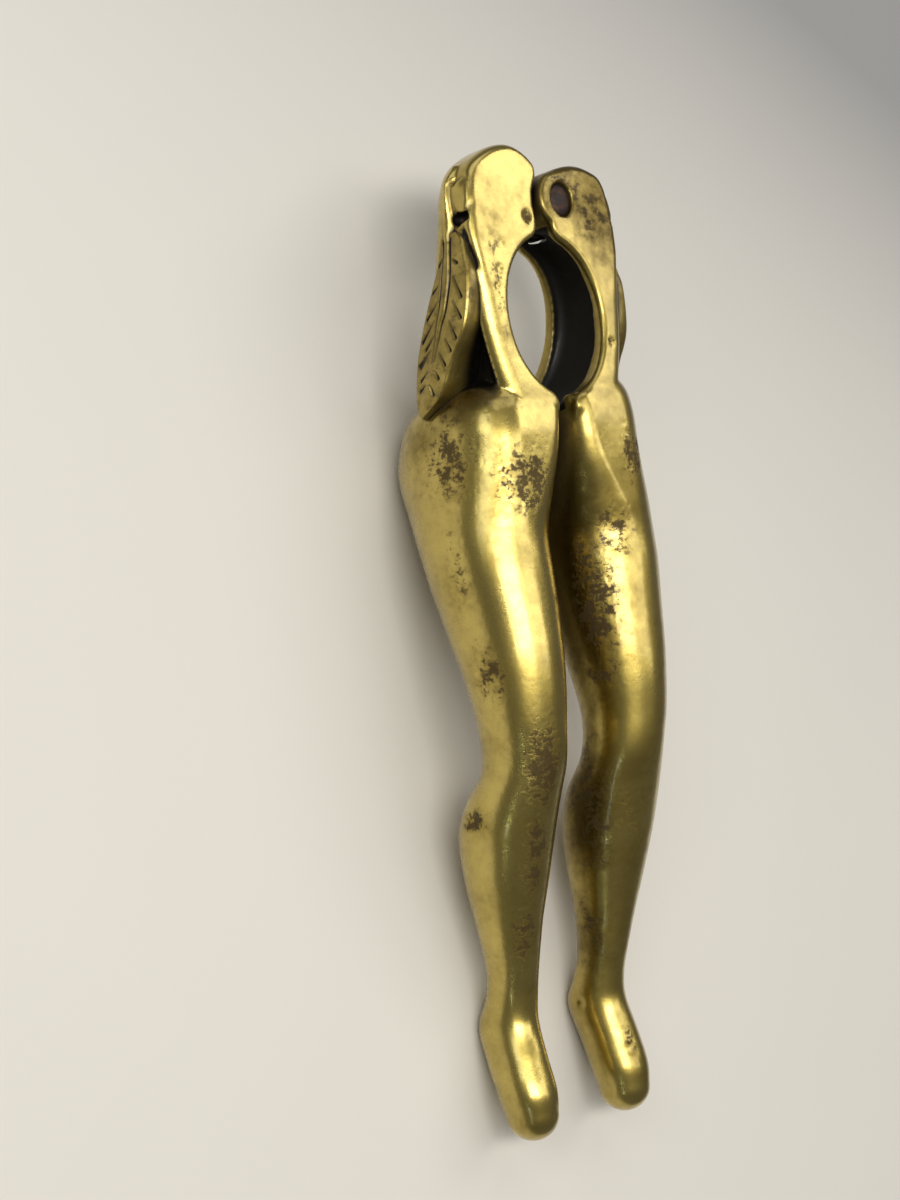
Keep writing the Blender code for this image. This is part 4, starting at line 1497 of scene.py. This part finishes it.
@dataclass(frozen=True)
class BrassFinish:
    """Old cast brass, polished and tarnished in clouds and brown in pits, with painted shade in veins,
    creases, hollows, under the lug and between the legs.
    """

    bright: Colour = (0.55, 0.43, 0.115, 1.0)
    olive: Colour = (0.32, 0.235, 0.048, 1.0)
    umber: Colour = (0.17, 0.115, 0.028, 1.0)
    # painted shade and stains: the dark brown that shade_and_stain mixes in
    darkened: Colour = (0.095, 0.066, 0.017, 1.0)
    brown: Colour = (0.060, 0.037, 0.012, 1.0)
    # painted shade and dirt: the near black of the hollow and of the deepest gaps
    shade_and_dirt_black: Colour = (0.006, 0.004, 0.002, 1.0)
    cloud_scale: float = 130.0
    mottle_scale: float = 620.0
    fine_scale: float = 1900.0
    grain_scale: float = 4200.0
    streak_scale: tuple[float, float, float] = (330.0, 2300.0, 330.0)
    polish: float = 0.25
    coat: float = 0.6
    coat_roughness: float = 0.13
    bump: float = 0.30
    bump_depth: float = 0.0001

    def material(self) -> bpy.types.Material:
        """Builds the finish.

        Returns:
            The material.
        """
        nodes = Nodes("aged_brass")
        place = nodes.place()
        patina = nodes.attribute("patina")
        recess = nodes.attribute("recess")
        shade_and_dirt = nodes.attribute("shade_and_dirt")
        dull = nodes.attribute("dull")
        clouds = nodes.noise(place, self.cloud_scale, 4.0, 0.55)
        mottle = nodes.noise(place, self.mottle_scale, 4.0, 0.62)
        fine = nodes.noise(place, self.fine_scale, 3.0, 0.6)
        grain = nodes.noise(place, self.grain_scale, 3.0, 0.6)
        streak_place = nodes.add("ShaderNodeMapping", {}, {"Vector": place, "Scale": self.streak_scale})
        streaks = nodes.noise(streak_place, 1.0, 3.0, 0.6)
        darkened = patina.ramp(0.06, 0.55)
        rough = nodes.math("MINIMUM", patina, 0.9)
        blotches = (mottle * 0.50 + fine * 0.35 + streaks * 0.15 + rough * 0.22).ramp(0.60, 0.68) * darkened
        specks = (fine * 0.6 + mottle * 0.4 + rough * 0.10).ramp(0.64, 0.70) * (0.25 + darkened * 0.7)
        scratches = streaks.ramp(0.62, 0.72) * (0.25 + 0.5 * clouds.ramp(0.45, 0.6))
        marks = blotches.highest(specks)
        halo = (clouds * 0.5 + mottle * 0.5 + patina * 0.45).ramp(0.55, 0.95)
        # painted shade and stains: darkens the gaps between the legs, the near hip's shoulder, the leaf and
        # the far head
        shade_and_stain = (nodes.attribute("shade_and_stain") + mottle * 0.45 + clouds * 0.35 - 0.4).ramp(0.1, 0.95)
        # painted shade: points that walls shut in, between the legs and in hollows, darken from the attribute
        # recess
        shut = (recess * 1.9 + mottle * 0.30 - 0.42).ramp(0.0, 0.8)
        # painted shade and dirt: shut-in points, the hollow, the groove, the furrows and the veins turn brown
        shade_and_dirt_mask = shut.highest(shade_and_dirt)
        tarnish = (clouds * 0.55 + mottle * 0.40 + dull * 0.30 - 0.02).ramp(0.30, 0.75).highest(scratches)
        colour = nodes.mix(tarnish, self.bright, self.olive)
        colour = nodes.mix(halo * 0.6, colour, self.umber)
        colour = nodes.mix(shade_and_stain * 0.92, colour, self.darkened)
        colour = nodes.mix(marks * 0.85, colour, self.brown)
        colour = nodes.mix(shade_and_dirt_mask, colour, self.brown)
        # painted shade and dirt: the most shut-in places and the hollow turn nearly black
        colour = nodes.mix((recess * 1.5 - 0.60 + shade_and_dirt).ramp(0.05, 0.42), colour, self.shade_and_dirt_black)
        height = grain * 0.12 + fine * 0.30 + mottle * 0.5 + streaks * 0.12 - marks * 0.8
        bump = nodes.bump(height, self.bump, self.bump_depth)
        roughness = self.polish + tarnish * 0.10 + halo * 0.12 + marks * 0.2 + shade_and_dirt_mask * 0.25
        metallic = 1.0 - marks * 0.35 - shade_and_dirt_mask * 0.5
        # the coat is left off where shade is painted, and on marks, halos and stains
        unmarked_and_unshaded = 1 - shade_and_dirt_mask.highest(marks).highest(halo).highest(shade_and_stain)
        inputs = {
            "Base Color": colour, "Roughness": roughness, "Metallic": metallic, "Normal": bump,
            "Coat Weight": unmarked_and_unshaded * self.coat, "Coat Roughness": self.coat_roughness,
        }
        return nodes.output(nodes.add("ShaderNodeBsdfPrincipled", {}, inputs))


@dataclass(frozen=True)
class IronFinish:
    """Dark hammered iron with a little brown rust."""

    dark: Colour = (0.045, 0.034, 0.032, 1.0)
    rust: Colour = (0.11, 0.055, 0.035, 1.0)
    cloud_scale: float = 500.0
    grain_scale: float = 2400.0
    metallic: float = 0.85
    bump: float = 0.6
    bump_depth: float = 0.0002

    def material(self) -> bpy.types.Material:
        """Builds the finish.

        Returns:
            The material.
        """
        nodes = Nodes("dark_iron")
        place = nodes.place()
        clouds = nodes.noise(place, self.cloud_scale, 4.0, 0.6)
        grain = nodes.noise(place, self.grain_scale, 4.0, 0.6)
        colour = nodes.mix(clouds.ramp(0.45, 0.7), self.dark, self.rust)
        bump = nodes.bump(clouds * 0.8 + grain * 0.4, self.bump, self.bump_depth)
        roughness = 0.38 + grain * 0.25
        inputs = {"Base Color": colour, "Roughness": roughness, "Metallic": self.metallic, "Normal": bump}
        return nodes.output(nodes.add("ShaderNodeBsdfPrincipled", {}, inputs))


@dataclass(frozen=True)
class TableFinish:
    """Plain pale tabletop with painted shade: it grows a little greyer beyond the heads, where the lamps'
    light falls off.

    The painted shade grows with the double exponential of the place, which "start" and the slopes set.
    """

    pale: Colour = (0.78, 0.75, 0.68, 1.0)
    falloff_grey: Colour = (0.05, 0.06, 0.10, 1.0)
    start: float = -3.35
    slope_x: float = 10.0
    slope_along: float = 22.0
    most: float = 0.62
    cloud_scale: float = 18.0
    clouding: float = 0.04
    roughness: float = 0.75

    def material(self) -> bpy.types.Material:
        """Builds the finish.

        Returns:
            The material.
        """
        nodes = Nodes("pale_table")
        place = nodes.place()
        clouds = nodes.noise(place, self.cloud_scale, 3.0, 0.5)
        x = nodes.add("ShaderNodeSeparateXYZ", {}, {"Vector": place}, "X")
        along = nodes.add("ShaderNodeSeparateXYZ", {}, {"Vector": place}, "Y")
        # painted shade: the table darkens towards +X and +Y, beyond the heads
        power = x * self.slope_x + along * self.slope_along + self.start
        loss = 1 - nodes.math("POWER", e, 0 - nodes.math("POWER", e, power))
        shade = nodes.math("MINIMUM", loss + (clouds - 0.5) * self.clouding, self.most)
        inputs = {"Base Color": nodes.mix(shade, self.pale, self.falloff_grey), "Roughness": self.roughness}
        return nodes.output(nodes.add("ShaderNodeBsdfPrincipled", {}, inputs))


@dataclass(frozen=True)
class Lamp:
    """A soft rectangular lamp that faces the nutcracker.

    Angles are in degrees: "tilt" leans from straight above towards +X and "lead" towards +Y.
    The spans are how wide it looks from the nutcracker, and "glow" is how bright its face is.
    """

    name: str
    tilt: float
    lead: float
    tilt_span: float
    lead_span: float
    glow: float
    colour: tuple[float, float, float]
    distance: float = 0.75

    def hang(self) -> None:
        """Hangs the lamp and turns it to the nutcracker."""
        tilt, lead = radians(self.tilt), radians(self.lead)
        towards = Vector((sin(tilt) * cos(lead), sin(lead), cos(tilt) * cos(lead)))
        across = Vector((cos(tilt), 0, -sin(tilt)))
        along = towards.cross(across)
        light = bpy.data.lights.new(self.name, "AREA")
        light.shape = "RECTANGLE"
        light.size = 2 * self.distance * tan(radians(self.tilt_span / 2))
        light.size_y = 2 * self.distance * tan(radians(self.lead_span / 2))
        light.energy = pi * light.size * light.size_y * self.glow
        light.color = self.colour
        lamp = bpy.data.objects.new(self.name, light)
        turn = Matrix((across, along, towards)).transposed().to_4x4()
        lamp.matrix_world = Matrix.Translation(towards * self.distance) @ turn
        bpy.context.scene.collection.objects.link(lamp)


LAMPS = (
    Lamp("main", -24.0, 2.5, 36.0, 15.0, 9.2, (1.0, 0.98, 0.95)),
    Lamp("spill", 14.0, 2.5, 40.0, 15.0, 3.0, (1.0, 0.97, 0.92)),
    Lamp("window", -52.0, 20.0, 20.0, 22.0, 3.0, (0.95, 0.98, 1.0)),
    Lamp("right_key", 45.0, 20.0, 20.0, 22.0, 3.0, (1.0, 0.97, 0.91)),
    Lamp("beyond", 0.0, 50.0, 50.0, 30.0, 1.1, (0.98, 0.98, 1.0)),
    Lamp("glint", -60.0, -30.0, 3.0, 3.0, 12.0, (0.8, 0.95, 1.0)),
)


@dataclass
class Studio:
    """The floor, the lamps, the dim surroundings and the camera."""

    floor_size: float = 6.0
    eye: Vector = field(default_factory=lambda: Vector((-224.345, -8.641, 223.104)) * MM)
    yaw: float = radians(44.0)
    roll: float = radians(7.519)
    pitch: float = radians(3.017)
    focal_pixels: float = 2208.0
    sensor: float = 36.0
    nearest: float = 0.01
    farthest: float = 50.0
    surroundings: tuple[float, float, float] = (1.0, 0.98, 0.93)
    surroundings_level: float = 0.15

    def floor(self) -> None:
        """The tabletop, which ends far outside the photograph's view."""
        deselect_all()
        bpy.ops.mesh.primitive_grid_add(x_subdivisions=8, y_subdivisions=8, size=self.floor_size)
        floor = bpy.context.object
        floor.name = "table"
        floor.data.materials.append(TableFinish().material())

    def world(self) -> None:
        """Plain dim surroundings."""
        world = bpy.data.worlds.new("surroundings")
        bpy.context.scene.world = world
        world.use_nodes = True
        background = world.node_tree.nodes["Background"]
        colour = [self.surroundings_level * part for part in self.surroundings]
        background.inputs["Color"].default_value = (*colour, 1)
        background.inputs["Strength"].default_value = 1.0

    def camera(self) -> None:
        """The camera at the photograph's place and angle."""
        across = Vector((cos(self.yaw), 0, sin(self.yaw)))
        along = Vector((0, 1, 0))
        ahead = Vector((sin(self.yaw), 0, -cos(self.yaw)))
        right = cos(self.roll) * across - sin(self.roll) * along
        upward = sin(self.roll) * across + cos(self.roll) * along
        view = cos(self.pitch) * ahead + sin(self.pitch) * upward
        up = cos(self.pitch) * upward - sin(self.pitch) * ahead
        data = bpy.data.cameras.new("camera")
        data.sensor_fit = "VERTICAL"
        data.sensor_height = self.sensor
        data.lens = self.focal_pixels * self.sensor / PHOTO_HEIGHT
        data.clip_start = self.nearest
        data.clip_end = self.farthest
        camera = bpy.data.objects.new("camera", data)
        camera.matrix_world = Matrix.Translation(self.eye) @ Matrix((right, up, -view)).transposed().to_4x4()
        bpy.context.scene.collection.objects.link(camera)
        bpy.context.scene.camera = camera

    def build(self) -> None:
        """Sets the whole studio up."""
        self.floor()
        self.world()
        self.camera()
        for lamp in LAMPS:
            lamp.hang()
        bpy.context.scene.view_settings.view_transform = "Standard"


def main() -> None:
    """Builds the nutcracker's pieces in order, and then the studio around it."""
    logging.basicConfig(level=logging.INFO, format="%(name)s: %(message)s")
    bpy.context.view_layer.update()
    brass = BrassFinish().material()
    right = Casting(
        "right_casting", "right_leaf", Side.RIGHT, RIGHT_PATCHES, RIGHT_PITS, dullness=0.0,
        body=LegBody(shoulder_shift=-0.5), shades_and_stains=RIGHT_PAINTED_SHADE, shaded_patches=(UNDER_RIGHT_LUG,),
    )
    left = Casting(
        "left_casting", "left_leaf", Side.LEFT, LEFT_PATCHES, LEFT_PITS, dullness=0.35,
        body=LegBody(shoulder_shift=1.6), head=Head(foot=29.4, foot_back=6.12, groove_floor_foot=10.95),
        ornament=Ornament(flush=0.6), shades_and_stains=LEFT_SHADE_AND_STAINS,
    )
    cast = []
    for body, casting in (("right_leg", right), ("left_leg", left)):
        pieces = casting.build()
        casting.dress(pieces, body, body, brass)
        cast += pieces
    shade_cavities(cast, REACH_OF_SHADE * MM)
    rivet = Rivet()
    piece = rivet.build()
    rivet.dress(piece, IronFinish().material())
    for piece in (*cast, piece):
        LOG.info("%s: %d faces", piece.name, len(piece.data.polygons))
    Studio().build()


if __name__ == "__main__":
    main()
